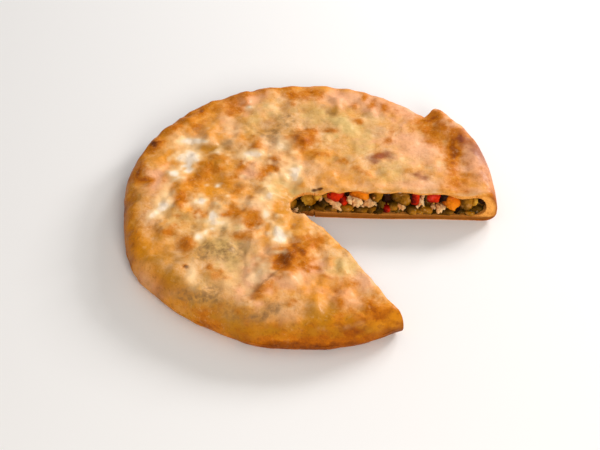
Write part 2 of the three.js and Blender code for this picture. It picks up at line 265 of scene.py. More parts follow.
# Rays from the sector's middle end on an edge; each row runs at its own distance from cut to cut. With
# x and y it gives the distances from the start and from both cuts
def planGrid(sector, shares, columns, edge):
    weight = np.linspace(0, 1, columns)
    middle = sector["centre"]
    reach = np.full(columns, pie["radius"])
    for _ in range(edgePasses):
        turn = mix(sector["low"](reach), sector["high"](reach), weight)
        ahead = middle[0] * np.cos(turn) + middle[1] * np.sin(turn)
        x, y = middle[0] + reach * np.cos(turn), middle[1] + reach * np.sin(turn)
        reach = np.sqrt(ahead ** 2 - middle @ middle + edge(np.arctan2(y, x)) ** 2) - ahead
    distance = sector["start"] + np.asarray(shares)[:, None] * (reach - sector["start"])
    low, high = sector["low"](distance), sector["high"](distance)
    turn = mix(low, high, weight)
    x, y = middle[0] + distance * np.cos(turn), middle[1] + distance * np.sin(turn)
    return x, y, distance - sector["start"], (turn - low) * distance, (high - turn) * distance


# Outside faces of a block of points, which are numbered layer by layer, row by row
def blockFaces(layers, rows, columns):
    number = np.arange(layers * rows * columns).reshape(layers, rows, columns)
    sheets = [number[0], number[-1].T, number[:, 0].T, number[:, -1], number[:, :, 0], number[:, :, -1].T]
    corners = [(s[:-1, :-1], s[1:, :-1], s[1:, 1:], s[:-1, 1:]) for s in sheets]
    return np.concatenate([np.stack(c, -1).reshape(-1, 4) for c in corners])


# Keeps the points that faces use, and turns the faces outwards if the volume comes out negative
def trimmed(points, faces, marks):
    used, faces = np.unique(faces, return_inverse=True)
    faces = faces.reshape(-1, 4)
    points = points.reshape(-1, 3)[used]
    a, b, c, d = (points[faces[:, i]] for i in range(4))
    volume = np.einsum("ij,ij->", np.cross(a, b), c) + np.einsum("ij,ij->", np.cross(a, c), d)
    if volume < 0:
        faces = faces[:, ::-1]
    return points, faces, {name: values.reshape(-1)[used] for name, values in marks.items()}


# The pie's middle in the frame: its crust's box is the outline's box
rimSteps = 4001
rimTurns = np.linspace(-math.pi, math.pi, rimSteps)
crustLow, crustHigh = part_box("crust")
pieMiddle = np.array([
    crustLow.x / mm - (outline(rimTurns) * np.cos(rimTurns)).min(),
    crustHigh.y / mm - (outline(rimTurns) * np.sin(rimTurns)).max(),
    0.0,
])
slideTurn = math.radians(cuts["sliceBack"])
slideBy = cuts["slide"] * np.array([math.cos(slideTurn), math.sin(slideTurn), 0])
noSlide = np.zeros(3)
sharpTurn = 55  # edges that turn by more degrees stay crisp


# A new object in the scene, at the origin
def addObject(name, data):
    made = bpy.data.objects.new(name, data)
    bpy.context.collection.objects.link(made)
    return made


# Moves a shape from the pie's own millimetres into the frame, with its marks as attributes
def addPiece(name, points, faces, marks, material, slot, replaced=()):
    mesh = bpy.data.meshes.new(name)
    mesh.from_pydata(((points + pieMiddle) * mm).tolist(), [], faces.tolist())
    for mark, values in marks.items():
        mesh.attributes.new(mark, "FLOAT", "POINT").data.foreach_set("value", values.astype(np.float32))
    mesh.polygons.foreach_set("use_smooth", np.ones(len(faces), bool))
    mesh.set_sharp_from_angle(angle=math.radians(sharpTurn))
    mesh.materials.append(material)
    piece = addObject(name, mesh)
    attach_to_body(piece, "root")
    if replaced:
        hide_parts(*replaced)
    print(name, len(points), "points", 2 * len(faces), "triangles")


# Shader maths: a wire is one output socket, and operators on wires add Math nodes
class Wire:
    def __init__(self, tree, socket=None):
        self.tree = tree
        self.socket = socket

    def node(self, kind, settings=None, sockets=None, output=0):
        made = self.tree.nodes.new(kind)
        for name, value in (settings or {}).items():
            if name == "stops":
                setStops(made.color_ramp, value)
            else:
                setattr(made, name, value)
        for name, value in (sockets or {}).items():
            if isinstance(value, Wire):
                self.tree.links.new(value.socket, made.inputs[name])
            else:
                made.inputs[name].default_value = value
        return Wire(self.tree, made.outputs[output])

    def math(self, operation, *values):
        return self.node("ShaderNodeMath", {"operation": operation}, dict(enumerate(values)))

    def __add__(self, other):
        return self.math("ADD", self, other)

    def __sub__(self, other):
        return self.math("SUBTRACT", self, other)

    def __rsub__(self, other):
        return self.math("SUBTRACT", other, self)

    def __mul__(self, other):
        return self.math("MULTIPLY", self, other)

    __radd__ = __add__
    __rmul__ = __mul__

    def clamped(self):
        return self.node("ShaderNodeMath", {"operation": "ADD", "use_clamp": True}, {0: self, 1: 0.0})

    # 0 below the low value, 1 above the high one, smooth between
    def between(self, low, high):
        span = {"Value": self, "From Min": low, "From Max": high, "To Min": 0.0, "To Max": 1.0}
        return self.node("ShaderNodeMapRange", {"interpolation_type": "SMOOTHSTEP"}, span)

    # Two colours mixed by this wire; on this node 0 is the factor, 6 and 7 are the colours, and 2 comes out
    def blend(self, first, second):
        settings = {"data_type": "RGBA"}
        return self.node("ShaderNodeMix", settings, {0: self, 6: first, 7: second}, 2)


# Stops of a colour ramp as positions and colours
def setStops(ramp, stops):
    while len(ramp.elements) < len(stops):
        ramp.elements.new(0.5)
    for element, (position, colour) in zip(ramp.elements, stops):
        element.position = position
        element.color = colour


# A screen colour from 0 to 255 as linear light
def shade(red, green, blue):
    light = []
    for value in (red / 255, green / 255, blue / 255):
        light.append(value / 12.92 if value <= 0.04045 else ((value + 0.055) / 1.055) ** 2.4)
    return (*light, 1.0)


# A new material: gives its shader node and an empty wire that adds nodes to its tree
def newMaterial(name):
    material = bpy.data.materials.new(name)
    material.use_nodes = True
    return material, material.node_tree.nodes["Principled BSDF"], Wire(material.node_tree)


# Plain values on a node's own sockets
def setValues(node, values):
    for socket, value in values.items():
        node.inputs[socket].default_value = value


# Links a wire to one of the shader's sockets
def attach(wire, shader, socket):
    wire.tree.links.new(wire.socket, shader.inputs[socket])


# A mark of the mesh as a single value, which is the node's output 2
def attribute(start, name):
    return start.node("ShaderNodeAttribute", {"attribute_name": name}, {}, 2)


# Relief on the shader's normal, with its depth in millimetres
def addBump(shader, height, strength, depth):
    sockets = {"Strength": strength, "Distance": depth * mm, "Height": height}
    attach(height.node("ShaderNodeBump", {}, sockets), shader, "Normal")


noiseMiddle = 0.5  # what noise comes to on average


# Noise on the object's own coordinates, which are output 3; grain is its lumps' size in millimetres
def noise(start, grain, detail=3.0, roughness=0.5, distortion=0.0, seed=0.0):
    place = start.node("ShaderNodeTexCoord", {}, {}, 3)
    sockets = {"Vector": place, "W": seed, "Scale": 1 / (grain * mm), "Detail": detail}
    sockets.update({"Roughness": roughness, "Distortion": distortion})
    return start.node("ShaderNodeTexNoise", {"noise_dimensions": "4D"}, sockets)


# Baked dough: a golden ground with zones and marks of other colours, pale crumb where cut
crustLook = {
    "browning": [
        (0.0, shade(247, 215, 180)), (0.12, shade(240, 194, 146)), (0.26, shade(231, 166, 86)),
        (0.4, shade(218, 140, 38)), (0.55, shade(197, 111, 9)), (0.7, shade(162, 83, 3)),
        (0.85, shade(118, 55, 8)), (1.0, shade(70, 29, 11)),
    ],
    "golden": shade(230, 146, 18), "sage": shade(216, 184, 116), "pink": shade(240, 176, 134),
    "olive": shade(184, 122, 16), "plum": shade(138, 72, 52), "thin": shade(190, 148, 84),
    "speck": shade(134, 98, 62), "char": shade(72, 30, 12), "freckle": shade(142, 76, 10),
    # Milky is partly cheese under thin dough and partly painted highlight, its bright middle is a painted
    # highlight, and pale flecks are partly painted glints
    "milky": shade(255, 220, 166), "pale": shade(255, 220, 166), "bright": shade(255, 236, 214),
    "grain": shade(170, 98, 18), "cut": shade(250, 176, 86), "cutDark": shade(204, 124, 44),
    "floor": shade(150, 88, 28), "base": shade(84, 40, 6),
}
# Its noises: size of the lumps in millimetres, detail, roughness, distortion and seed
crustNoise = {
    "broad": (22, 3, 0.5, 0.6), "coarse": (9, 3, 0.5, 0.6, 1.3), "medium": (3.2, 3, 0.6, 0.3, 2.1),
    "fine": (1.2, 3, 0.6), "freckle": (2.8, 2, 0.6, 0.4, 7.7), "pale": (3.2, 2, 0.6, 0.3, 8.8),
    "speck": (5, 3, 0.65, 0.3, 5.2),
}
# Shares of the coarse, medium and fine noise in what they make together
crustBlends = {
    "ragged": (0.5, 0.5, 0), "rough": (0.45, 0.3, 0.4), "grain": (0, 0.6, 0.4), "crumb": (0.5, 0, 0.5),
    "bump": (0, 0.55, 0.45),
}
# Its marks: how ragged they are, the strengths at which they start and are full, and how much they cover
zoneMark = (0.4, 0.04, 0.86, 0.92)
crustMarks = {
    "sage": zoneMark, "golden": zoneMark, "pink": zoneMark, "olive": zoneMark,
    "spot": (0.55, 0.12, 0.8, 1.0), "char": (0.4, 0.25, 0.8, 0.9), "plum": (0.6, 0.1, 1.0, 0.8),
    "milky": (0.35, 0.26, 1.0, 0.85), "bright": (0.35, 0.72, 1.02, 1.0),
    "floor": (0.5, 0.2, 0.7, 1.0), "base": (0.3, 0.75, 1.1, 0.7),
}
# Its flecks: the noise at which they start and are full, what browning or thinness they go by, and cover
crustFlecks = {
    "grain": {"level": (0.5, 0.72), "cover": 0.26},
    "freckle": {"level": (0.52, 0.68), "browned": (0.2, 0.55), "least": 0.1, "more": 0.3},
    "pale": {"level": (0.52, 0.74), "browned": (0.35, 0.6), "cover": 0.16},
    "thin": {"least": 0.4, "more": 0.3},
    "speck": {"level": (0.38, 0.66), "thin": (0.25, 0.85), "cover": 0.75},
    "crumb": {"level": (0.36, 0.62)},
}
# How far noise moves the browning, and how brown a spot is, also in its middle
toasting = {
    "broad": 0.3, "rough": 0.55, "spot": 0.53, "spotRough": 0.7, "middle": (0.76, 1.0), "middleMore": 0.26,
}
# Its finish: roughness and gloss, with the shares of the grain, a cut, a milky mark and a spot in them
crustFinish = {
    "roughness": 0.5, "roughGrain": 0.4, "roughCut": 0.3, "roughMilky": 0.16,
    "coat": 0.1, "coatMilky": 0.4, "coatGrain": 0.8, "coatSpot": 0.7, "bump": 1.0, "bumpDepth": 1.0,
    "plain": {"Specular IOR Level": 0.06, "Coat Roughness": 0.26},
}


# Colours go on one over another, from the browned ground to the crumb of the cut faces
def crustMaterial():
    material, shader, start = newMaterial("baked_crust")
    grains = {name: noise(start, *settings) for name, settings in crustNoise.items()}
    coarse, medium, fine = grains["coarse"], grains["medium"], grains["fine"]
    cut, thin = attribute(start, "cut"), attribute(start, "thin")

    def blended(name, about=0.0):
        shares = zip((coarse, medium, fine), crustBlends[name])
        return sum((grain - about) * share for grain, share in shares if share)

    ragged, rough = blended("ragged", noiseMiddle), blended("rough", noiseMiddle)

    # Where a mark shows, its edge made ragged; a few marks read the strength of another
    def marked(name, source=None):
        jag, low, high, _ = crustMarks[name]
        return (attribute(start, source or name) + ragged * jag).between(low, high)

    def covered(ground, name, source=None):
        *_, cover = crustMarks[name]
        return (marked(name, source) * cover).blend(ground, crustLook[name])

    # Flecks where a noise runs high, by a weight
    def flecked(ground, name, grain, weight):
        return (grain.between(*crustFlecks[name]["level"]) * weight).blend(ground, crustLook[name])

    toast = attribute(start, "browned") + (grains["broad"] - noiseMiddle) * toasting["broad"]
    toast = toast + rough * toasting["rough"]
    ramp = {"stops": crustLook["browning"]}
    colour = toast.node("ShaderNodeValToRGB", ramp, {"Fac": toast.clamped()})
    for zone in ("sage", "golden", "pink", "olive"):
        colour = covered(colour, zone)
    colour = flecked(colour, "grain", blended("grain"), crustFlecks["grain"]["cover"])

    # Scorched spots, never paler than the dough round them
    spot, middle = marked("spot"), attribute(start, "spot").between(*toasting["middle"])
    scorched = toasting["spot"] + middle * toasting["middleMore"] + rough * toasting["spotRough"]
    scorched = scorched.math("MAXIMUM", scorched, toast)
    scorched = scorched.node("ShaderNodeValToRGB", ramp, {"Fac": scorched.clamped()})
    colour = covered(spot.blend(colour, scorched), "char")

    # Dark freckles where it is browned; where it isn't, pale flecks, partly pale dough and partly painted
    # glints
    fleck = crustFlecks["freckle"]
    weight = fleck["least"] + toast.between(*fleck["browned"]) * fleck["more"]
    colour = flecked(colour, "freckle", grains["freckle"], weight)
    fleck = crustFlecks["pale"]
    weight = fleck["cover"] * (1 - toast.between(*fleck["browned"]))
    colour = covered(flecked(colour, "pale", grains["pale"], weight), "plum")

    # Thin dough with the filling's specks, then milky marks, partly cheese under thin dough and partly
    # painted highlights, with painted highlights at their middles
    fleck = crustFlecks["thin"]
    colour = (thin * (fleck["least"] + coarse * fleck["more"])).clamped().blend(colour, crustLook["thin"])
    fleck = crustFlecks["speck"]
    colour = flecked(colour, "speck", grains["speck"], thin.between(*fleck["thin"]) * fleck["cover"])
    colour = covered(covered(colour, "milky"), "bright", "milky")

    crumb = blended("crumb").between(*crustFlecks["crumb"]["level"])
    crumb = covered(crumb.blend(crustLook["cutDark"], crustLook["cut"]), "floor")
    attach(cut.blend(colour, covered(crumb, "base", "floor")), shader, "Base Color")
    finish, milky = crustFinish, marked("milky")
    roughness = finish["roughness"] + (medium - noiseMiddle) * finish["roughGrain"]
    roughness = roughness + cut * finish["roughCut"] - milky * finish["roughMilky"]
    attach(roughness.clamped(), shader, "Roughness")
    coat = finish["coat"] + milky * finish["coatMilky"] + (coarse - noiseMiddle) * finish["coatGrain"]
    attach((coat * (1 - cut) * (1 - spot * finish["coatSpot"])).clamped(), shader, "Coat Weight")
    addBump(shader, blended("bump"), finish["bump"], finish["bumpDepth"])
    setValues(shader, finish["plain"])
    return material


# Marks of the oven on the top, and a darker band along the front rim that is partly painted shade, as
# seen from the front: x, y, half length, half width, turn and strength
spots = [
    (2, 64, 10, 9, 60, 0.85), (-5, 68, 6, 3.5, 80, 0.85), (10, 75, 5, 4, 0, 0.55),
    (-52, 29, 12, 3.5, 68, 0.7), (-28, 27, 13, 5, 63, 0.8), (-24, 37, 5, 3.5, 63, 0.65),
    (-72, 45, 8, 6, 0, 0.55), (-76, 28, 7, 6, 0, 0.6), (-100, -10, 7, 5, 90, 0.85),
    (-97, 5, 11, 8, 15, 0.4), (-88, 16, 8, 4, 10, 0.45), (-53, 3, 9, 3.5, 60, 0.65),
    (-130, 14, 6, 4, 0, 0.9), (-136, 24, 9, 3, 80, 0.95), (-137, -5, 14, 3, 90, 0.4),
    (-84, -26, 5, 4, 110, 0.75), (-66, -26, 4, 3, 90, 0.45), (-54, -24, 8, 5, 0, 0.65),
    (-38, -27, 8, 5, -25, 0.65), (-42, -39, 4, 2.5, 0, 0.85), (-48, -52, 7, 5, 20, 0.75),
    (-90, -58, 6, 6, 90, 0.8), (-92, -66, 5, 4, 0, 0.7), (-107, -48, 7, 4, -10, 0.75),
    (-94, -37, 4, 3, 0, 0.4), (-131, -52, 8, 7, 90, 0.4), (-135, -62, 6, 4, 90, 0.35),
    (-128, -30, 6, 6, 90, 0.45), (-62, 113, 12, 9, 60, 0.45), (-58, 104, 5, 5, 0, 0.6),
    (-88, 104, 5, 4, 40, 0.95), (-125, 60, 5, 5, 70, 0.94), (-115, 80, 8, 3, 50, 0.7),
    (-90, 82, 6, 6, 80, 0.65), (-100, 92, 6, 4, 45, 0.55), (-45, 127, 12, 4, 15, 0.5),
    (-75, 110, 6, 4, 40, 0.6), (-10, 126, 9, 3.5, 95, 0.75), (-38, 60, 5, 3, 85, 0.85),
    (-52, 68, 6, 4, 60, 0.4), (8, 130, 7, 4, 0, 0.85), (45, 110, 5, 2.5, 85, 0.65),
    (53, 122, 4, 2, 90, 0.85), (60, 112, 4, 2, 70, 0.75), (70, 108, 5, 2.5, 80, 0.7),
    (48, 90, 3.5, 3, 90, 0.75), (25, 78, 5, 3, -10, 0.6), (33, 38, 4, 3, -30, 0.75),
    (15, 47, 9, 3, -15, 0.6), (52, 22, 9, 2.5, -38, 0.5), (45, 30, 5, 2.5, -40, 0.4),
    (75, 75, 10, 2.5, 80, 0.45), (70, 63, 5, 2, 60, 0.5), (86, 27, 4, 3, 0, 0.5),
    (112, 95, 7, 7, 60, 0.85), (103, 82, 7, 5, -30, 0.6), (113, 73, 9, 6, -50, 0.7),
    (126, 52, 10, 5, 100, 0.9), (124, 25, 16, 4, 92, 0.75), (120, 8, 7, 6, 80, 0.6),
    (132, 75, 8, 4, -50, 0.7), (132, 66, 5, 4, 120, 0.85), (136, 33, 5, 4, 0, 0.25),
    (118, 104, 5, 4, 90, 0.5), (-13, -76, 16, 9, 32, 0.9), (-12, -84, 6, 4, 0, 0.3),
    (-19, -78, 8, 6, 40, 0.5), (-4, -66, 9, 5, 15, 0.7), (0, -55, 7, 4, 0, 0.6),
    (-29, -108, 15, 3.5, 49, 0.6), (-72, -86, 4, 3, 90, 0.7), (-66, -94, 5, 3, -40, 0.5),
    (-76, -137, 7, 4, 95, 0.75), (-57, -129, 7, 7, 0, 0.4), (-90, -86, 2.2, 2, 0, 1.0),
    (18, -97, 6, 2.5, -30, 0.6), (35, -105, 9, 4, 15, 0.7), (27, -123, 5, 2.5, 100, 0.8),
    (50, -127, 7, 4, 105, 0.9), (58, -130, 7, 6, 90, 0.6), (-8, -122, 4, 3, 0, 0.6),
    (25, -139, 4, 3, 90, 0.6), (8, -86, 5, 2, -20, 0.5), (45, -140, 10, 5, 0, 0.5),
    (10, -60, 5, 5, 0, 0.5), (64, 45, 5, 3.5, 10, 0.85), (-106, 98, 22, 4, 43, 0.5),
    (-70, 125, 20, 4, 25, 0.5), (-20, 139, 22, 3.5, 8, 0.4), (60, 127, 22, 3, -25, 0.35),
    (95, 109, 18, 3, -42, 0.35), (112, 60, 9, 7, -50, 0.35), (-11, -86, 8, 5, 30, 0.45),
    # These three and the first on the next line darken the front rim: partly browning, partly painted shade
    (-22, -169, 18, 8, 3, 0.95), (5, -171, 22, 9, -2, 0.97), (36, -168, 20, 8, 8, 0.95),
    (-71, -149, 10, 6, -25, 0.96), (10, 126, 10, 5, 0, 0.4), (-10, 124, 8, 4, 0, 0.3),
    (-113, 75, 9, 3, 50, 0.5), (-126, 55, 8, 3, 65, 0.6), (148, 17, 10, 5, 80, 0.35),
    (137, 12, 10, 8, 0, 0.25), (79, 104, 14, 6, -35, 0.35),
]
zones = {
    "golden": [
        (-115, 48, 14, 12, 0, 0.6), (-108, 35, 14, 7, 0, 0.6), (-95, 8, 15, 11, 15, 0.75),
        (-66, 12, 13, 10, 0, 0.6), (-70, 35, 14, 14, 0, 0.5), (-45, -28, 16, 8, 0, 0.65),
        (-18, -22, 13, 8, 90, 0.5), (-72, 72, 10, 7, 90, 0.4), (-52, 68, 9, 6, 0, 0.5),
        (-62, 112, 16, 13, 0, 0.6), (-88, 88, 14, 13, 90, 0.6), (-112, 65, 14, 10, 90, 0.4),
        (30, 12, 28, 11, 0, 0.55), (5, 46, 20, 7, 0, 0.6), (-30, -57, 7, 7, 0, 0.5),
        (15, -75, 9, 7, 90, 0.4), (5, -58, 12, 7, 0, 0.55), (-28, -112, 14, 5, 45, 0.6),
        (-125, -65, 14, 10, 0, 0.45), (40, -143, 22, 7, 0, 0.6), (64, -143, 9, 9, 0, 0.6),
        (118, 15, 14, 8, 90, 0.5), (-40, -10, 12, 6, 0, 0.3), (-5, -35, 10, 9, 90, 0.6),
        (35, -113, 11, 9, 0, 0.75), (20, 134, 32, 7, 0, 0.6), (-3, -96, 10, 6, 20, 0.3),
        (148, 36, 14, 5, 100, 0.5), (137, 12, 10, 9, 0, 0.8), (12, -112, 11, 10, 0, 0.85),
        (-112, -62, 12, 11, 0, 0.4), (-87, -38, 11, 10, 0, 0.35), (-112, -38, 10, 10, 0, 0.3),
        (65, 75, 25, 20, 60, 0.25), (80, 15, 20, 10, 0, 0.25), (12, 112, 11, 10, 0, 0.3),
        # The last two here and the three below lighten the left rim: painted light where it lies in shade
        (12, -137, 10, 9, 0, 0.4), (-138, -28, 12, 4, 90, 0.5), (-133, -60, 16, 4, 80, 0.5),
        (-128, -83, 14, 4, 70, 0.5), (-116, -104, 14, 4, 50, 0.5), (-101, -121, 12, 4, 40, 0.6),
        (79, 104, 14, 6, -35, 0.4),
    ],
    "sage": [
        (-18, 5, 11, 9, 0, 0.75), (-10, -5, 8, 8, 0, 0.5), (-78, -38, 16, 12, 0, 0.5),
        (-104, -28, 12, 9, 0, 0.45), (-64, -62, 16, 9, 0, 0.6), (-52, -84, 12, 7, 90, 0.6),
        (-33, 110, 13, 9, 90, 0.6), (38, 84, 20, 6, -45, 0.8), (45, 57, 10, 10, 0, 0.55),
        (70, 18, 13, 10, 90, 0.7), (83, 37, 7, 4, 0, 0.5), (30, -86, 10, 10, 0, 0.65),
        (10, 100, 12, 9, 0, 0.5), (60, 90, 12, 7, 90, 0.45), (-18, -42, 8, 7, 0, 0.6),
        (-85, 50, 8, 6, 90, 0.5), (-62, -105, 16, 8, 0, 0.35), (20, 40, 12, 8, 0, 0.35),
        (-45, 85, 12, 8, 90, 0.45), (20, 68, 10, 9, 90, 0.35), (-12, 12, 11, 10, 0, 0.35),
        (-12, 40, 11, 9, 0, 0.25),
    ],
    "pink": [
        (-122, 10, 14, 6, 75, 0.85), (-125, 20, 6, 5, 0, 0.7), (-45, 25, 9, 6, 80, 0.7),
        (-35, -25, 6, 5, 0, 0.6), (-50, 114, 11, 9, 0, 0.75), (-42, 125, 14, 6, 10, 0.5),
        (-58, 82, 9, 9, 0, 0.35), (-93, 64, 8, 6, 0, 0.5), (55, 117, 26, 10, -20, 0.6),
        (88, 104, 20, 8, -35, 0.75), (28, 122, 14, 8, 0, 0.5), (98, 52, 22, 15, 0, 0.65),
        (88, 68, 18, 6, 5, 0.6), (95, 8, 22, 6, 0, 0.55), (128, 95, 15, 6, -55, 0.85),
        (148, 32, 16, 8, 100, 0.85), (140, 44, 10, 8, 0, 0.7), (136, 15, 12, 10, 0, 0.2),
        (-34, -90, 18, 11, 70, 0.85), (-9, -101, 16, 6, 38, 0.55), (20, -110, 11, 9, 0, 0.2),
        (45, -102, 8, 7, 0, 0.65), (36, -126, 10, 9, 90, 0.45), (6, -85, 8, 6, 0, 0.6),
        (-122, -90, 18, 12, -60, 0.2), (-118, -106, 15, 6, -45, 0.4), (-120, -30, 7, 5, 90, 0.4),
        (12, 30, 14, 8, -20, 0.3), (-18, 58, 8, 7, 90, 0.3), (-12, 60, 9, 8, 90, 0.1),
        (-12, 38, 11, 10, 0, 0.2), (-12, 12, 11, 10, 0, 0.2), (-37, -12, 10, 9, 0, 0.1),
        (-62, -38, 10, 10, 0, 0.2), (-62, 62, 10, 10, 0, 0.1), (-12, -137, 10, 8, 0, 0.5),
        (-62, -108, 12, 10, 0, 0.25),
    ],
    "olive": [
        (-70, 40, 12, 11, 20, 0.6), (-73, 53, 10, 5, 0, 0.75), (-132, 0, 18, 8, 90, 0.55),
        (-62, 10, 12, 9, 0, 0.15), (-102, -98, 15, 8, 80, 0.6), (-108, -75, 10, 7, 0, 0.6),
        (-108, -48, 10, 6, -10, 0.45), (-60, -128, 14, 10, 0, 0.5), (-55, -144, 18, 5, 0, 0.5),
        (108, 76, 13, 7, -40, 0.75), (15, -135, 16, 8, 0, 0.75), (-15, -22, 13, 6, 85, 0.5),
        (-50, 88, 13, 4, 115, 0.5), (-35, 75, 5, 5, 0, 0.6), (27, 104, 7, 2.5, 75, 0.8),
        (48, 92, 4, 3, 0, 0.5), (86, 27, 6, 4, 0, 0.5), (-9, 62, 10, 3, 95, 0.7),
        (60, 85, 12, 6, 90, 0.3), (-88, 45, 8, 4, 90, 0.4), (5, 108, 6, 5, 0, 0.45),
        # The last two here and the one below darken the front rim: partly browning, partly painted shade
        (-135, -40, 10, 5, 90, 0.3), (-50, -152, 22, 9, -15, 0.65), (-10, -160, 25, 8, 0, 0.7),
        (30, -160, 22, 8, 8, 0.65),
    ],
    "plum": [
        (64, 44, 7, 4.5, 10, 0.95), (60, 37, 3, 3, 0, 0.8), (93, 21, 4, 3, 20, 0.75),
        (99, 17, 4.5, 3, -30, 0.8), (142, 58, 9, 4.5, -55, 0.8), (148, 50, 7, 4, -65, 0.55),
        (132, 66, 5, 4, 0, 0.5), (-17, 96, 8, 6, 0, 0.45), (-30, 88, 5, 4, 0, 0.5),
        (-88, -115, 8, 5, 0, 0.45), (-22, -128, 8, 4, 30, 0.55), (-32, -138, 9, 4, 10, 0.6),
        (-130, 16, 7, 5, 0, 0.5), (-46, 22, 4, 4, 0, 0.4), (135, 75, 6, 5, -50, 0.4),
        (149, 36, 12, 5, 100, 0.35), (151, 19, 12, 6, 85, 0.4), (150, 46, 9, 4, 110, 0.5),
        (128, 97, 12, 5, -55, 0.35), (96, 108, 16, 4, -42, 0.3),
    ],
    "thin": [
        (-27, 74, 10, 8, 0, 0.8), (-17, 96, 8, 7, 0, 0.7), (-66, -66, 16, 8, -5, 0.8),
        (-75, -76, 9, 4, 0, 0.6), (-57, -73, 8, 7, 0, 0.6), (-88, -116, 10, 5, 0, 0.8),
        (-69, -112, 7, 5, 0, 0.7), (-78, -122, 9, 3, 0, 0.8), (-22, -129, 9, 4, 30, 0.8),
        (-32, -139, 10, 4, 8, 0.8), (-57, -131, 8, 7, 0, 0.6), (-65, -44, 4, 3, 50, 0.9),
        (26, 102, 6, 4, 60, 0.6), (14, 90, 6, 4, -40, 0.5), (-63, 60, 4, 4, 0, 0.5),
        (-17, 53, 4, 2, 0, 0.6), (-70, 53, 9, 5, 0, 0.4), (4, 110, 6, 4, 0, 0.4),
        (-52, 8, 4, 3, 0, 0.6),
    ],
    "char": [
        # The first two are dark notches in the torn edge near the slice's point, painted shade of small
        # holes; the rest are scorched specks
        (9, 1.5, 1.8, 1.3, 0, 1), (14, 3.5, 1.8, 1.1, 20, 1), (-126, 61, 3.5, 3, 70, 0.8),
        (-90, -86, 2, 1.8, 0, 1), (-88, 105, 3, 2.5, 40, 0.6), (53, 122, 2, 1.4, 90, 0.5),
        (-137, 24, 4, 2, 80, 0.5),
    ],
    # Milky marks: cheese under thin dough with painted highlights on it
    "milky": [
        (-95, 45, 9, 8, 60, 1), (-92, 42, 4.5, 4, 0, 1), (-107, 22, 6.5, 5, -30, 0.95),
        (-95, 26, 4, 2, 80, 0.8), (-113, -6, 13, 7, 80, 0.65), (-112, -16, 4.5, 4, 0, 0.95),
        (-82, -12, 5.5, 5, 80, 1), (-73, -29, 8, 3.5, 92, 1), (-68, -37, 7, 4, 10, 0.7),
        (-82, -53, 4.5, 4, 60, 0.95), (-118, -27, 6, 3.5, 70, 0.8), (-20, -50, 10, 6, 105, 1),
        (-17, -56, 4.5, 4, 0, 1), (-47, 47, 8, 5, 20, 0.85), (-38, 42, 8, 5, 90, 0.55),
        (-50, -13, 5, 4, 0, 0.6), (-28, -5, 8, 4, 95, 0.55), (-30, -28, 5, 2.5, 95, 0.8),
        (-85, -96, 14, 4, 97, 0.75), (-93, 64, 6, 5, 0, 0.6), (-18, 57, 7, 5, 70, 0.65),
        (-47, 108, 4, 4, 0, 0.55), (-10, 25, 8, 5, 80, 0.5), (-8, -99, 9, 7, 20, 0.5),
        (-60, -102, 12, 6, 0, 0.4), (-102, 58, 8, 8, 0, 0.35), (-34, -92, 15, 7, 70, 0.8),
        (-112, 62, 8, 8, 0, 0.4), (-62, -38, 10, 9, 0, 0.55), (-62, 88, 9, 8, 0, 0.45),
        (-12, 38, 11, 10, 0, 0.5), (-12, 12, 11, 10, 0, 0.5), (-37, -12, 10, 9, 0, 0.5),
        (-62, 62, 9, 9, 0, 0.5), (-14, 62, 9, 9, 0, 0.45), (-88, 88, 9, 9, 0, 0.3),
        # The small ones from here on are painted highlights on blisters
        (-95, 26, 2.6, 2, 0, 0.8), (-89, 65, 3, 2, 0, 0.8), (-81, 63, 2.4, 2, 0, 0.85),
        (-98, 65, 3, 2.2, 0, 0.8), (-70, 7, 2.6, 1.8, 60, 0.9), (-79, 8, 2.2, 1.8, 0, 0.8),
        (-61, -5, 1.8, 1.6, 0, 0.8), (-71, 49, 1.8, 1.6, 0, 0.8), (-6, 21, 4, 2.4, 80, 0.85),
        (-27, -4, 4, 2.4, 90, 0.85), (-37, 46, 4, 2.4, 10, 0.9), (-46, 110, 3, 2.4, 0, 0.85),
        (-121, -28, 4, 2.4, 60, 0.9), (-72, -44, 3.4, 2.4, 20, 0.9), (-106, 22, 3.4, 3, 0, 0.9),
        (-50, 19, 3, 2.4, 0, 0.7), (-5, -35, 8, 8, 0, 0.15),
    ],
}
# How brown the outside is: in general, along the rim, at its foot and underneath; how the marks wander
# and fade, the slant they are seen at, and how far they rise or sink
bake = {
    "base": 0.21, "sway": 0.05, "swayCell": 15, "rim": 0.45, "rimFrom": 0.88, "uneven": 0.45,
    # around is browning by turn; at -130 degrees it is less, a paler lower left rim as painted light where
    # it faces away from the lights
    "unevenCell": 11, "around": [(-78, 14, 0.08), (-130, 26, -0.21), (-98, 12, -0.06)],
    "low": 0.06, "lowTo": (2, 15), "under": 0.52, "underTo": (0, 1.5),
    "wander": [(7, 0.3), (3.5, 0.2)], "middle": 1.25, "halo": 2.4, "haloShare": 0.3,
    "slant": 43.42, "rise": {"spot": 1.2, "milky": 1.1, "thin": -0.6, "sage": -0.6, "golden": 0.3},
}


# Strength of a list of marks: each is an oval with a dense middle, a faint halo and a wandering edge
def markStrength(x, y, marks, seed):
    wander = 1
    for k, (cell, share) in enumerate(bake["wander"]):
        wander = wander + share * lumpyNoise(x, y, cell, seed + k)
    clear = np.ones_like(x)
    for centreX, centreY, length, width, turn, strength in marks:
        along, across = turned(x, y, centreX, centreY, turn)
        away = np.hypot(along / length, across / width) * wander
        oval = mix(bell(away / bake["middle"]), bell(away / bake["halo"]), bake["haloShare"])
        clear *= 1 - strength * oval
    return 1 - clear
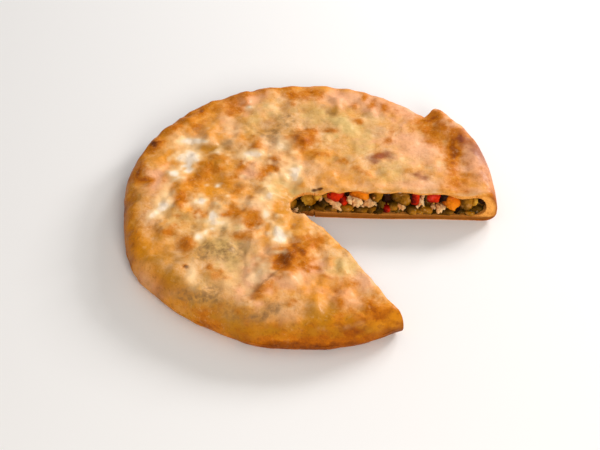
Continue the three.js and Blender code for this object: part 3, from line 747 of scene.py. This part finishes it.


# How the outside is coloured: a browning base that sways, deeper at the rim, more or less so by place and
# paler on the lower left rim as painted light, even underneath, with the marks laid on it, some of them
# painted highlights and shade. They are shifted by their height, as seen from the front
def bakeMarks(x, y, height, slid):
    angle = np.arctan2(y, x)
    rimward = smooth(bake["rimFrom"], 1.0, np.hypot(x, y) / outline(angle))
    uneven = 1 + bake["uneven"] * lumpyNoise(x, y, bake["unevenCell"], seeds["uneven"])
    toasted = bake["base"] + bake["sway"] * lumpyNoise(x, y, bake["swayCell"], seeds["sway"])
    toasted = toasted + (bake["rim"] * uneven + swelling(angle, bake["around"])) * rimward
    toasted = toasted + bake["low"] * (1 - smooth(*bake["lowTo"], height))
    under = 1 - smooth(*bake["underTo"], height)
    seenX = x + slid[0]
    seenY = y + slid[1] + (height - pie["crown"]) / math.tan(math.radians(bake["slant"]))
    marks = {}
    for k, (name, zone) in enumerate(zones.items()):
        marks[name] = markStrength(seenX, seenY, zone, seeds["zones"] + len(bake["wander"]) * k)
    marks["spot"] = markStrength(seenX, seenY, spots, seeds["spots"])
    marks = {name: strength * (1 - under) for name, strength in marks.items()}
    marks["browned"] = mix(toasted, bake["under"] * np.sqrt(uneven), under)
    return marks


# A case of dough: its outer skin runs over the top, round the rim and back under, its inner skin runs
# along the ceiling, the wall and the floor of the filling, and short rows of points join the two
caseRows = {
    "top": 94, "shoulder": 18, "side": 10, "under": 9, "layers": 6,
    "shoulderStart": 0.86, "shoulderPower": 8, "crumbFrom": (0, 0.35), "floorTo": (0.5, 9),
}
# Its cut edges: rounded over, drooping at the torn round, bulging, with a skirt at the foot, and level with
# the other side along the closed cut
edges = {
    "round": 0.9, "roundReach": 2.8, "droop": 1.2, "droopReach": 11, "tipThick": 1.8,
    "bulge": 0.45, "rough": 0.7, "grainCell": 4, "grainScale": 3,
    "skirt": 1.8, "skirtFade": (8 / 3, 8), "skirtTo": (50, 105),
    "seamReach": 18, "seamRim": (0.8, 0.92), "sag": 0.9, "sagCell": 7,
}


# 1 at the torn round, fading outwards
def tipNear(x, y):
    away = np.hypot(x - cuts["tip"][0], y - cuts["tip"][1]) - cuts["tipRadius"]
    return 1 - smooth(0, edges["droopReach"], away)


# Shares of the way out that crowd towards 1: roots of the sines of even turns
def shoulderShares(count, endpoint=True):
    power = caseRows["shoulderPower"]
    first = math.asin(caseRows["shoulderStart"] ** power)
    return np.sin(np.linspace(first, math.pi / 2, count, endpoint=endpoint)) ** (1 / power)


# Rows of the top: even to the shoulder, then by the turn of the shoulder's curve
def topRows(sector):
    span = pie["radius"] - sector["start"]
    fromRim = (1 - shoulderShares(caseRows["shoulder"] + 1)) * pie["radius"] / span
    even = np.linspace(0, 1 - fromRim[0], caseRows["top"], endpoint=False)
    return np.append(even, 1 - fromRim)


# Distance to the nearest side that was cut or torn open
def openEdge(sector, inward, fromLow, fromHigh):
    sides = {"tip": inward, "low": fromLow, "high": fromHigh}
    return np.minimum.reduce([sides[side] for side in sector["open"]])


# Outer skin: the top with its marks raised, rounded over at open edges and drooping at the torn round,
# then the side and the underside
def outerSkin(sector, columns, slid):
    x, y, *edge = planGrid(sector, topRows(sector), columns, craggy)
    share = np.hypot(x, y) / outline(np.arctan2(y, x))
    top = topHeight(x, y, slid)
    if "tip" not in sector["open"]:
        beside = topHeight(x + slid[0], y + slid[1], noSlide)
        near = (1 - smooth(0, edges["seamReach"], edge[2])) * (1 - smooth(*edges["seamRim"], share))
        top = mix(top, beside, near)
    marks = bakeMarks(x, y, top, slid)
    raised = sum(rise * marks[name] for name, rise in bake["rise"].items())
    lowered = edges["round"] * (1 - smooth(0, edges["roundReach"], openEdge(sector, *edge)))
    lowered = lowered + edges["droop"] * tipNear(x + slid[0], y + slid[1])
    top = top + (raised - lowered) * smooth(pie["rim"], pie["crown"], top)
    rows = [np.stack([x, y, top], -1)]
    for bend in np.linspace(0, math.pi / 2, caseRows["side"] + 1)[1:]:
        tuck = pie["tuck"] * (1 - math.cos(bend))
        x, y, *_ = planGrid(sector, [1], columns, lambda angle: craggy(angle, math.cos(bend)) - tuck)
        rows.append(np.stack([x, y, np.full_like(x, pie["rim"] * (1 - math.sin(bend)))], -1))
    under = np.linspace(1, 0, caseRows["under"] + 1)[1:]
    x, y, *_ = planGrid(sector, under, columns, lambda angle: outline(angle) - pie["tuck"])
    rows.append(np.stack([x, y, np.zeros_like(x)], -1))
    return np.concatenate(rows)


# Heights of the filling's floor and ceiling, which meet half way up at its edge
def fillingHeights(x, y, gap, slid):
    angle = np.arctan2(y, x)
    reach = np.hypot(x, y)
    crust = mix(*pie["topCrust"], smooth(*pie["thicken"], reach / outline(angle)))
    crust = crust + (edges["droop"] + edges["tipThick"]) * tipNear(x + slid[0], y + slid[1])
    full = rounded(reach / (outline(angle) - pie["rimDough"] - gap), pie["corner"])
    middle = (pie["crown"] - pie["topCrust"][1] + pie["bottomCrust"]) / 2
    sag = edges["sag"] * lumpyNoise(x, y, edges["sagCell"], seeds["sag"])
    ceiling = topHeight(x, y, slid) - crust - gap + sag
    return mix(middle, pie["bottomCrust"] + gap, full), mix(middle, ceiling, full)


# Inner skin: the same rows along the ceiling, then the floor's rows back to the start
def innerSkin(sector, columns, slid):
    shares = topRows(sector)
    floorShares = np.linspace(0, caseRows["shoulderStart"], caseRows["under"], endpoint=False)
    back = np.append(floorShares, shoulderShares(caseRows["side"], endpoint=False))[::-1]
    edge = lambda angle: outline(angle) - pie["rimDough"]
    x, y, *_ = planGrid(sector, np.append(shares, back), columns, edge)
    floor, ceiling = fillingHeights(x, y, 0, slid)
    isCeiling = (np.arange(len(x)) < len(shares))[:, None]
    return np.stack([x, y, np.where(isCeiling, ceiling, floor)], -1)


# Pushes the cut faces out by half a wave through the dough, unevenly, and their foot out further: on the
# slice near its point, and all along the torn round
def swellCuts(sector, block, weight):
    swell = np.sin(math.pi * weight)
    along, up = edges["grainScale"] * (block[..., 0] + block[..., 1]), edges["grainScale"] * block[..., 2]
    grain = lumpyNoise(along, up, edges["grainCell"], seeds["cutFace"])
    push = swell * (edges["bulge"] + edges["rough"] * grain)
    low = edges["skirt"] * (1 - smooth(*edges["skirtFade"], block[..., 2]))
    offset = block[..., :2] - sector["centre"]
    reach = np.hypot(offset[..., 0], offset[..., 1]).clip(sector["start"])
    for side, column, way in (("low", 0, -1), ("high", -1, 1)):
        if side in sector["open"]:
            turn = sector[side](reach[:, :, column])
            across = np.stack([-np.sin(turn), np.cos(turn)], -1)
            skirt = low * (1 - smooth(*edges["skirtTo"], reach)) if side == "low" else 0 * low
            block[:, :, column, :2] += way * (push + skirt)[:, :, column, None] * across
    if "tip" in sector["open"]:
        for row in (0, -1):
            block[:, row, :, :2] -= ((push + low)[..., None] * offset / reach[..., None])[:, row]


# A block of points from the outer skin to the inner one, with the outside's marks, some of them painted
# light and shade, carried through it
def doughCase(sector, columns, slid):
    outer, inner = outerSkin(sector, columns, slid), innerSkin(sector, columns, slid)
    weight = np.linspace(0, 1, caseRows["layers"])[:, None, None]
    block = mix(outer, inner, weight[..., None])
    swellCuts(sector, block, weight)
    marks = bakeMarks(outer[..., 0], outer[..., 1], outer[..., 2], slid)
    marks = {name: np.broadcast_to(values, block.shape[:3]) for name, values in marks.items()}
    marks["cut"] = np.broadcast_to(smooth(*caseRows["crumbFrom"], weight), block.shape[:3])
    marks["floor"] = 1 - smooth(*caseRows["floorTo"], block[..., 2])
    return trimmed(block + slid, blockFaces(*block.shape[:3]), marks)


# The filling's core behind the pieces: a block from ceiling to floor, its cut faces lumpy
coreRows = {
    "layers": 9, "rows": 44, "crowding": 1.6, "recess": 6.5, "wall": 0.997,
    "rough": 1.5, "grain": 5, "slope": 2, "sideways": 0.5,
}
coreLook = {
    "dark": shade(44, 22, 4), "brown": shade(104, 66, 16), "pale": shade(150, 104, 40),
    "lumps": 6, "grain": 1.8, "detail": 3, "brownAt": (0.42, 0.6), "paleAt": (0.58, 0.74),
    "roughness": 0.3, "roughGrain": 0.35, "bump": 0.6, "bumpDepth": 1.0,
    "plain": {"Specular IOR Level": 0.05},
}


# Rows crowd towards the wall by a power, layers are mixed from ceiling to floor, and lumpy noise moves them
def coreBlock(sector, columns, slid):
    shares = 1 - (1 - np.linspace(0, 1, coreRows["rows"])) ** coreRows["crowding"]
    edge = lambda angle: outline(angle) - pie["rimDough"] - pie["gap"]
    x, y, *_ = planGrid(sector, shares * coreRows["wall"], columns, edge)
    floor, ceiling = fillingHeights(x, y, pie["gap"], slid)
    weight = np.linspace(0, 1, coreRows["layers"])[:, None, None]
    height = mix(ceiling, floor, weight)
    x, y = np.broadcast_to(x, height.shape), np.broadcast_to(y, height.shape)
    lump = lumpyNoise(x + coreRows["slope"] * height, y - height, coreRows["grain"], seeds["core"])
    lump = lump * coreRows["rough"] * np.sin(math.pi * weight)
    block = np.stack([x + coreRows["sideways"] * lump, y + lump, height], -1) + slid
    return trimmed(block, blockFaces(*block.shape[:3]), {})


# Two sizes of noise mix three browns
def coreMaterial():
    material, shader, start = newMaterial("filling_core")
    coarse = noise(start, coreLook["lumps"], coreLook["detail"])
    fine = noise(start, coreLook["grain"], coreLook["detail"])
    colour = coarse.between(*coreLook["brownAt"]).blend(coreLook["dark"], coreLook["brown"])
    colour = fine.between(*coreLook["paleAt"]).blend(colour, coreLook["pale"])
    attach(colour, shader, "Base Color")
    attach(coreLook["roughness"] + fine * coreLook["roughGrain"], shader, "Roughness")
    addBump(shader, fine, coreLook["bump"], coreLook["bumpDepth"])
    setValues(shader, coreLook["plain"])
    return material


# Kinds of piece: power under 1 is boxier, rough is slow unevenness, crumbly is fine, curl bends a piece
kinds = {
    "red_pepper": {"power": 0.6, "rough": 0.07, "crumbly": 0.01, "curl": 0.16},
    "orange_pepper": {"power": 0.62, "rough": 0.07, "crumbly": 0.01, "curl": 0.14},
    "marrow": {"power": 0.62, "rough": 0.08, "crumbly": 0.03, "curl": 0.05},
    "courgette": {"power": 0.7, "rough": 0.12, "crumbly": 0.03, "curl": 0.08},
    "greens": {"power": 0.8, "rough": 0.2, "crumbly": 0.1, "curl": 0.2},
    "cheese": {"power": 0.75, "rough": 0.26, "crumbly": 0.13, "curl": 0.0},
    "dark_skin": {"power": 0.7, "rough": 0.12, "crumbly": 0.05, "curl": 0.3},
}
# On the slice's front, from its point to the rim: kind, along the cut, height, width, tallness and tilt
slicePieces = [
    ("courgette", 2.5, 19, 8, 10, 15), ("cheese", 5.5, 16, 4, 6, 25), ("greens", 7.5, 10, 10, 8, 0),
    ("marrow", 8.5, 20, 7, 8, 10), ("dark_skin", 12, 22.5, 6, 6, 10),
    ("red_pepper", 17.5, 20, 15, 13, 30), ("red_pepper", 24, 14, 11, 7, 38),
    ("cheese", 17.5, 10.5, 11, 7, 10), ("dark_skin", 27.5, 22, 4, 8, 0), ("cheese", 29, 16, 4, 6, 0),
    ("orange_pepper", 37.5, 22, 18, 9, 12), ("cheese", 35.5, 15, 8.5, 8.5, 0),
    ("cheese", 47.5, 11.5, 18, 7, 28), ("dark_skin", 43.5, 24.5, 9, 5, -20),
    ("marrow", 51.5, 20, 10, 13, 20), ("cheese", 50.5, 22, 4, 4, 0), ("greens", 55, 13, 8, 7, 30),
    ("dark_skin", 60, 21, 8, 12, 0), ("red_pepper", 60, 8, 8, 5.5, 10), ("marrow", 66, 10, 8, 8, 0),
    ("marrow", 72, 19.5, 19, 14, 25), ("cheese", 73, 9, 8, 7, 10), ("dark_skin", 78, 22.5, 8, 7, 30),
    ("red_pepper", 83, 19, 8, 14, 5), ("cheese", 88, 12.5, 7, 9, 20),
    ("cheese", 89.5, 21.5, 3.5, 4.5, 0), ("marrow", 81, 8.5, 9, 6, 0), ("greens", 92.5, 17, 5, 9, 0),
    ("red_pepper", 98, 20, 12, 11, 8), ("cheese", 98, 9.5, 4, 5, 0), ("cheese", 104, 9.5, 6, 6.5, 20),
    ("dark_skin", 106, 21.5, 7, 9, 0), ("orange_pepper", 113.5, 15.5, 15, 13, 32),
    ("dark_skin", 119.5, 9, 6, 8, 0), ("marrow", 125, 16, 12, 16, 0),
    ("courgette", 132, 18, 6, 10, 15), ("dark_skin", 137, 19, 5, 9, 0),
    ("greens", 132, 9.5, 12, 6, 10), ("marrow", 5, 7, 14, 4, 0), ("marrow", 28, 8, 13, 5, 0),
    ("marrow", 40, 7.5, 13, 5, 5), ("marrow", 92, 8, 11, 5.5, 0), ("marrow", 110, 7.5, 10, 5, 0),
    ("greens", 54, 7, 9, 4, 0), ("greens", 67, 6.8, 9, 4, 0), ("marrow", 15, 7, 13, 4, 0),
    ("greens", 22, 6.8, 8, 4, 0), ("greens", 34, 6.8, 9, 4, 0), ("marrow", 48, 7, 10, 4, 0),
    ("greens", 77, 6.8, 9, 4, 0), ("marrow", 86, 7, 9, 4, 0), ("greens", 101, 7, 10, 4, 0),
    ("greens", 121, 7, 10, 4, 0), ("marrow", 128, 7, 9, 4, 0),
]
# Round the torn point: kind, turn about its middle, height, width, tallness and tilt
tipPieces = [
    ("courgette", 88, 13.5, 15, 17, 20), ("dark_skin", 112, 20, 9, 7, -30),
    ("marrow", 134, 13, 10, 10, -15), ("greens", 110, 8.5, 11, 6, 0), ("dark_skin", 152, 17, 7, 9, 0),
    ("cheese", 128, 7.5, 5, 4, 0), ("marrow", 180, 17, 13, 11, 10),
    ("red_pepper", 212, 19, 13, 11, -15), ("cheese", 196, 9, 10, 8, 0),
    ("orange_pepper", 244, 18, 12, 11, 20), ("greens", 228, 9, 10, 8, 0), ("marrow", 256, 10, 9, 8, 0),
    ("greens", 90, 7, 11, 4, 0), ("marrow", 122, 7, 9, 4, 0),
]
# Along the gap's cut, in two courses: height, width, tallness and the kinds in turn
courses = [
    (19, 14, 12, ["marrow", "red_pepper", "dark_skin", "orange_pepper", "marrow"]),
    (9.5, 11, 9, ["cheese", "greens", "cheese", "red_pepper"]),
]
# How pieces sit in the faces, the low ones further out, and the steps of the two courses
pieceSet = {
    "depth": 11, "proud": 0.9, "recess": 0.5, "lean": 0.1, "low": 8.6, "lowProud": 1.7, "fine": 14,
    "gapFrom": 26, "gapTo": 130, "gapStep": 12.5, "tilt": 30,
}
# What every piece shares: its waves by quickness and unevenness, where rind and painted shade show, and
# its tones, lighter to one side and upwards as painted light
pieceForm = {
    "waves": [(2.2, "rough"), (3.6, "rough"), (8.5, "crumbly"), (13, "crumbly")], "swell": 1.7,
    "rindFrom": (0.1, 0.9), "rindUp": 0.6, "paintedShadeFrom": (0.1, 1.0), "curlMiddle": 0.4,
    "tone": 0.5, "paintedLightAcross": 0.4, "paintedLightUp": 0.15, "toneStray": 0.15,
}
# Crumbs between the pieces, those of cheese only low down
crumbSet = {
    "count": 110, "size": (1.2, 3.2), "fine": 4, "inset": (2.4, 4.6), "long": 1.3, "tilt": 60,
    "lowest": 6.5, "cheeseTop": 11, "otherTop": 24,
    "kinds": ["cheese", "greens", "cheese", "marrow", "courgette"],
}


# Points of a cube's faces at even angles, with their faces
def cubeSkin(fine):
    line = np.tan(np.linspace(-math.pi / 4, math.pi / 4, fine))
    points = np.stack(np.meshgrid(line, line, line, indexing="ij"), -1)
    points, faces, _ = trimmed(points, blockFaces(fine, fine, fine), {})
    return points, faces


# A piece: a cube's skin pressed onto a rounded block, swollen by slow and fast waves, curled and tilted
def chunk(kind, wide, deep, tall, tilt, fine, seed):
    look = kinds[kind]
    points, faces = cubeSkin(fine)
    power = 2 / look["power"]
    points = points / (np.abs(points) ** power).sum(-1, keepdims=True) ** (1 / power)
    draw = np.random.default_rng(seed)
    swell = np.ones(len(points))
    for quick, unevenness in pieceForm["waves"]:
        axes, phases = draw.normal(size=(3, 3)), draw.uniform(0, 2 * math.pi, 3)
        axes /= np.linalg.norm(axes, axis=1, keepdims=True)
        swell += look[unevenness] * np.sin(quick * points @ axes.T + phases).mean(-1) * pieceForm["swell"]
    rindSide = 1 if draw.random() < pieceForm["rindUp"] else -1
    stray = draw.uniform(-pieceForm["toneStray"], pieceForm["toneStray"])
    # Painted light: lighter towards one side and the top, with a random stray for the piece's own tone
    tone = pieceForm["tone"] + pieceForm["paintedLightAcross"] * points[:, 0] + pieceForm["paintedLightUp"] * points[:, 2]
    marks = {
        "rind": smooth(*pieceForm["rindFrom"], points[:, 2] * rindSide),
        "tone": tone + stray,
        # Painted shade, darker towards the piece's sides where it meets its neighbours
        "depth": smooth(*pieceForm["paintedShadeFrom"], 1 - np.abs(points[:, 1])),
    }
    x, y, z = (points * swell[:, None] * np.array([wide, deep, tall]) / 2).T
    z = z + look["curl"] * ((wide / 2) ** 2 * pieceForm["curlMiddle"] - x * x) / wide
    cosine, sine = math.cos(math.radians(tilt)), math.sin(math.radians(tilt))
    return np.stack([x * cosine + z * sine, y, z * cosine - x * sine], -1), faces, marks


# Places on the three kinds of open face: where along it and how far in, with the face's own turn
def onSlice(along, inset):
    return alongCut(cuts["sliceFront"], along, inset), math.radians(cuts["sliceFront"])


def onGap(along, inset):
    sector = mainSector()
    reach = np.array([along, along + 0.5])  # two places close together give the heading
    turn = sector["high"](reach)
    places = sector["centre"] + reach[:, None] * np.stack([np.cos(turn), np.sin(turn)], -1)
    heading = math.atan2(*(places[1] - places[0])[::-1])
    return places[0] + inset * np.array([math.sin(heading), -math.cos(heading)]), heading


def onTip(along, inset):
    turn = math.radians(along)
    reach = cuts["tipRadius"] + inset
    return np.array(cuts["tip"]) + reach * np.array([math.cos(turn), math.sin(turn)]), turn + math.pi / 2


# Which way across its turn each face goes in
inwards = {onSlice: 1, onGap: -1, onTip: -1}
# The faces that crumbs take in turn, from and to which place
crumbFaces = [(onSlice, 3, 136), (onSlice, 3, 136), (onGap, 18, 130), (onTip, 80, 256)]


# Every large piece as kind, face, place along it, height, width, tallness and tilt
def fillingList():
    rows = [(kind, onSlice, *rest) for kind, *rest in slicePieces]
    rows += [(kind, onTip, *rest) for kind, *rest in tipPieces]
    draw = np.random.default_rng(seeds["courses"])
    step = pieceSet["gapStep"]
    for level, (height, wide, tall, order) in enumerate(courses):
        places = np.arange(pieceSet["gapFrom"] + level * step / 2, pieceSet["gapTo"], step)
        for k, along in enumerate(places):
            tilt = draw.uniform(-pieceSet["tilt"], pieceSet["tilt"])
            rows.append((order[k % len(order)], onGap, along, height, wide, tall, tilt))
    return rows


# Crumbs as the same rows, drawn at random within their ranges
def crumbList():
    draw = np.random.default_rng(seeds["crumbs"])
    rows = []
    for k in range(crumbSet["count"]):
        face, low, high = crumbFaces[k % len(crumbFaces)]
        size = draw.uniform(*crumbSet["size"])
        kind = crumbSet["kinds"][k % len(crumbSet["kinds"])]
        top = crumbSet["cheeseTop"] if kind == "cheese" else crumbSet["otherTop"]
        height = draw.uniform(crumbSet["lowest"], top)
        along = draw.uniform(low, high)
        tilt = draw.uniform(-crumbSet["tilt"], crumbSet["tilt"])
        rows.append((kind, face, along, height, size * crumbSet["long"], size, tilt))
    return rows


# Sets each piece on its face, keeps it between the floor and the ceiling, and joins the pieces of one kind
def joinedPieces(kind):
    points, faces, marks = [], [], {"rind": [], "tone": [], "depth": []}
    draw = np.random.default_rng(seeds["insets"])
    listed = [(row, pieceSet["fine"], pieceSet["depth"]) for row in fillingList()]
    listed += [(row, crumbSet["fine"], row[5]) for row in crumbList()]  # a crumb is as deep as it is tall
    count = 0
    for seed, ((name, face, along, height, wide, tall, tilt), fine, deep) in enumerate(listed):
        inset = deep / 2 + pieceSet["recess"] - pieceSet["proud"] * draw.uniform(-1.0, 1.0)
        if face is not onGap and height < pieceSet["low"]:
            inset -= pieceSet["lowProud"]
        if fine == crumbSet["fine"]:
            inset = draw.uniform(*crumbSet["inset"])
        if name != kind:
            continue
        local, quads, own = chunk(kind, wide, deep, tall, tilt, fine, seed)
        spot, turn = face(along, inset)
        away = local[:, 1] + pieceSet["lean"] * (height + local[:, 2] - pie["bottomCrust"]) * inwards[face]
        x = spot[0] + local[:, 0] * math.cos(turn) - away * math.sin(turn)
        y = spot[1] + local[:, 0] * math.sin(turn) + away * math.cos(turn)
        slid = slideBy if face is onSlice else noSlide
        floor, ceiling = fillingHeights(x, y, pie["gap"], slid)
        z = np.clip(height + local[:, 2], floor, ceiling)
        points.append(np.stack([x, y, z], -1) + slid)
        faces.append(quads + count)
        for mark, values in own.items():
            marks[mark].append(values)
        count += len(local)
    marks = {mark: np.concatenate(values) for mark, values in marks.items()}
    return np.concatenate(points), np.concatenate(faces), marks


# Vegetables and cheese: two tones of flesh, mixed partly by painted light, a third for the rind, a dark
# one as painted shade on the sides, and wet gloss
pieceLooks = {
    "red_pepper": {
        "flesh": [(70, 1, 0), (228, 48, 5)], "rind": (146, 6, 0), "deep": (46, 1, 0),
        "rough": 0.3, "coat": 0.5, "grain": 5, "bump": 0.5,
    },
    "orange_pepper": {
        "flesh": [(146, 60, 0), (248, 140, 14)], "rind": (212, 94, 2), "deep": (98, 32, 0),
        "rough": 0.3, "coat": 0.5, "grain": 5, "bump": 0.5,
    },
    "marrow": {
        "flesh": [(78, 46, 1), (176, 116, 20)], "rind": (52, 34, 2), "deep": (22, 10, 0),
        "rough": 0.3, "coat": 0.8, "grain": 4, "bump": 0.8,
    },
    "courgette": {
        "flesh": [(150, 92, 2), (232, 176, 60)], "rind": (120, 78, 4), "deep": (70, 38, 0),
        "rough": 0.3, "coat": 0.7, "grain": 4, "bump": 0.8,
    },
    "greens": {
        "flesh": [(50, 30, 2), (118, 82, 16)], "rind": (36, 22, 2), "deep": (18, 8, 0),
        "rough": 0.4, "coat": 0.7, "grain": 2, "bump": 0.8,
    },
    "cheese": {
        "flesh": [(222, 150, 84), (255, 214, 154)], "rind": (255, 222, 170), "deep": (160, 86, 30),
        "rough": 0.6, "coat": 0.05, "grain": 1.6, "bump": 1.0,
    },
    "dark_skin": {
        "flesh": [(22, 6, 1), (50, 18, 4)], "rind": (16, 5, 1), "deep": (10, 3, 0),
        "rough": 0.4, "coat": 0.6, "grain": 3, "bump": 0.8,
    },
}


# What their finishes share: noise by its size in grains, what it adds where, and the wet gloss
pieceFinish = {
    "coarse": 1.6, "fine": 0.4, "detail": 3, "fineRough": 0.6,
    "fleshOf": (0.6, 0.25, 0.45), "fleshAt": (0.44, 0.84), "rindOf": (0.35, 0.7), "paintedShadeOf": 0.8,
    "roughOf": 0.25, "wetOf": (0.6, 0.4), "wetAt": (0.52, 0.62), "bumpOf": (0.5, 0.5), "bumpDepth": 0.8,
    "plain": {"Specular IOR Level": 0.05, "Coat Roughness": 0.08},
}


# Noise and a piece's tone, its own and painted light, mix its flesh; the rind and the painted shade of
# its sides go over it
def pieceMaterial(kind):
    look, finish = pieceLooks[kind], pieceFinish
    material, shader, start = newMaterial(kind + "_flesh")
    coarse = noise(start, look["grain"] * finish["coarse"], finish["detail"])
    fine = noise(start, look["grain"] * finish["fine"], finish["detail"], finish["fineRough"])
    rind, tone, depth = (attribute(start, name) for name in ("rind", "tone", "depth"))

    def summed(name, *wires):
        return sum(wire * share for wire, share in zip(wires, finish[name]))

    weight = summed("fleshOf", coarse, fine, tone).between(*finish["fleshAt"])
    colour = weight.blend(*(shade(*flesh) for flesh in look["flesh"]))
    least, more = finish["rindOf"]
    colour = (rind * (least + coarse * more)).clamped().blend(colour, shade(*look["rind"]))
    # Painted shade on the sides of the piece
    colour = (depth * finish["paintedShadeOf"]).blend(colour, shade(*look["deep"]))
    attach(colour, shader, "Base Color")
    attach((look["rough"] + (fine - noiseMiddle) * finish["roughOf"]).clamped(), shader, "Roughness")
    attach(look["coat"] * summed("wetOf", coarse, fine).between(*finish["wetAt"]), shader, "Coat Weight")
    addBump(shader, summed("bumpOf", coarse, fine), look["bump"], finish["bumpDepth"])
    setValues(shader, finish["plain"])
    return material


# Columns of points from cut to cut, what is left along the closed cut, and where the slice's core starts
columnCounts = {"pie": 348, "slice": 130, "pieCore": 150, "sliceCore": 60}
seam = 0.15
sliceCoreStart = 2.0
mainOpen = {**mainSector(), "open": ("tip", "high")}
sliceOpen = {**sliceSector(0, seam), "open": ("low",)}
crust = crustMaterial()
mainCase = doughCase(mainOpen, columnCounts["pie"], noSlide)
sliceCase = doughCase(sliceOpen, columnCounts["slice"], slideBy)
addPiece("pie_crust", *mainCase, crust, "crust", ["crust"])
addPiece("slice_case", *sliceCase, crust, "crust", ["slice_crust"])
core = coreMaterial()
mainBehind = mainSector(coreRows["recess"], pie["gap"])
sliceBehind = sliceSector(coreRows["recess"], cuts["gap"] + pie["gap"], sliceCoreStart)
mainCore = coreBlock(mainBehind, columnCounts["pieCore"], noSlide)
sliceCore = coreBlock(sliceBehind, columnCounts["sliceCore"], slideBy)
addPiece("pie_filling_core", *mainCore, core, "filling", ["filling"])
addPiece("slice_filling_core", *sliceCore, core, "filling", ["slice_filling"])
for kind in kinds:
    addPiece(kind, *joinedPieces(kind), pieceMaterial(kind), "filling")
print("pie dressed")

# Camera at the photograph's angle: 84 mm lens, looking along +Y and 43 degrees down
view = {"lens": 84, "sensor": 36, "down": 43.42, "away": 1149.9, "lookAt": (-2.7, -9.9, 0)}
camera = addObject("camera", bpy.data.cameras.new("camera"))
camera.data.lens = view["lens"]
camera.data.sensor_width = view["sensor"]
down = math.radians(view["down"])
lookAt = np.array(view["lookAt"]) + pieMiddle
camera.location = Vector((lookAt + view["away"] * np.array([0, -math.cos(down), math.sin(down)])) * mm)
camera.rotation_euler = (math.pi / 2 - down, 0, 0)
bpy.context.scene.camera = camera

# Soft studio light in metres: a key and a window from the back right, a broad one overhead, a fill in front
lights = {
    "key": {"at": (1.15, 0.85, 0.62), "size": 0.4, "power": 17, "colour": (1.0, 0.96, 0.93)},
    "window": {"at": (0.8, 1.2, 0.8), "size": 0.4, "power": 8, "colour": (1.0, 0.98, 0.96)},
    "overhead": {"at": (-0.25, 0.25, 1.6), "size": 1.6, "power": 2, "colour": (1.0, 1.0, 1.0)},
    "fill": {"at": (0.4, -1.35, 0.9), "size": 0.6, "power": 14, "colour": (1.0, 0.93, 0.84)},
}
for name, light in lights.items():
    lamp = bpy.data.lights.new(name, "AREA")
    lamp.size = light["size"]
    lamp.energy = light["power"]
    lamp.color = light["colour"]
    holder = addObject(name, lamp)
    holder.location = light["at"]
    holder.rotation_euler = (-Vector(light["at"])).to_track_quat("-Z", "Y").to_euler()

# Light from all round
surround = {"Color": (1, 0.95, 0.89, 1), "Strength": 0.37}
world = bpy.data.worlds.new("studio")
world.use_nodes = True
setValues(world.node_tree.nodes["Background"], surround)
bpy.context.scene.world = world
bpy.context.scene.view_settings.view_transform = "Standard"

# Plain pale floor, half its width in metres
floorLook = {"half": 4, "plain": {"Base Color": shade(240, 241, 243), "Roughness": 0.7}}
floorMaterial, floorShader, _ = newMaterial("pale_floor")
setValues(floorShader, floorLook["plain"])
floorMesh = bpy.data.meshes.new("floor")
half = floorLook["half"]
floorCorners = [(-half, -half, 0), (half, -half, 0), (half, half, 0), (-half, half, 0)]
floorMesh.from_pydata(floorCorners, [], [(0, 1, 2, 3)])
floorMesh.materials.append(floorMaterial)
floor = addObject("floor", floorMesh)
floor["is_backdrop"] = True
print("camera, lights and floor set")

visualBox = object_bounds()
sizes = {"cad": [list(corner) for corner in cadBox], "visual": [list(corner) for corner in visualBox]}
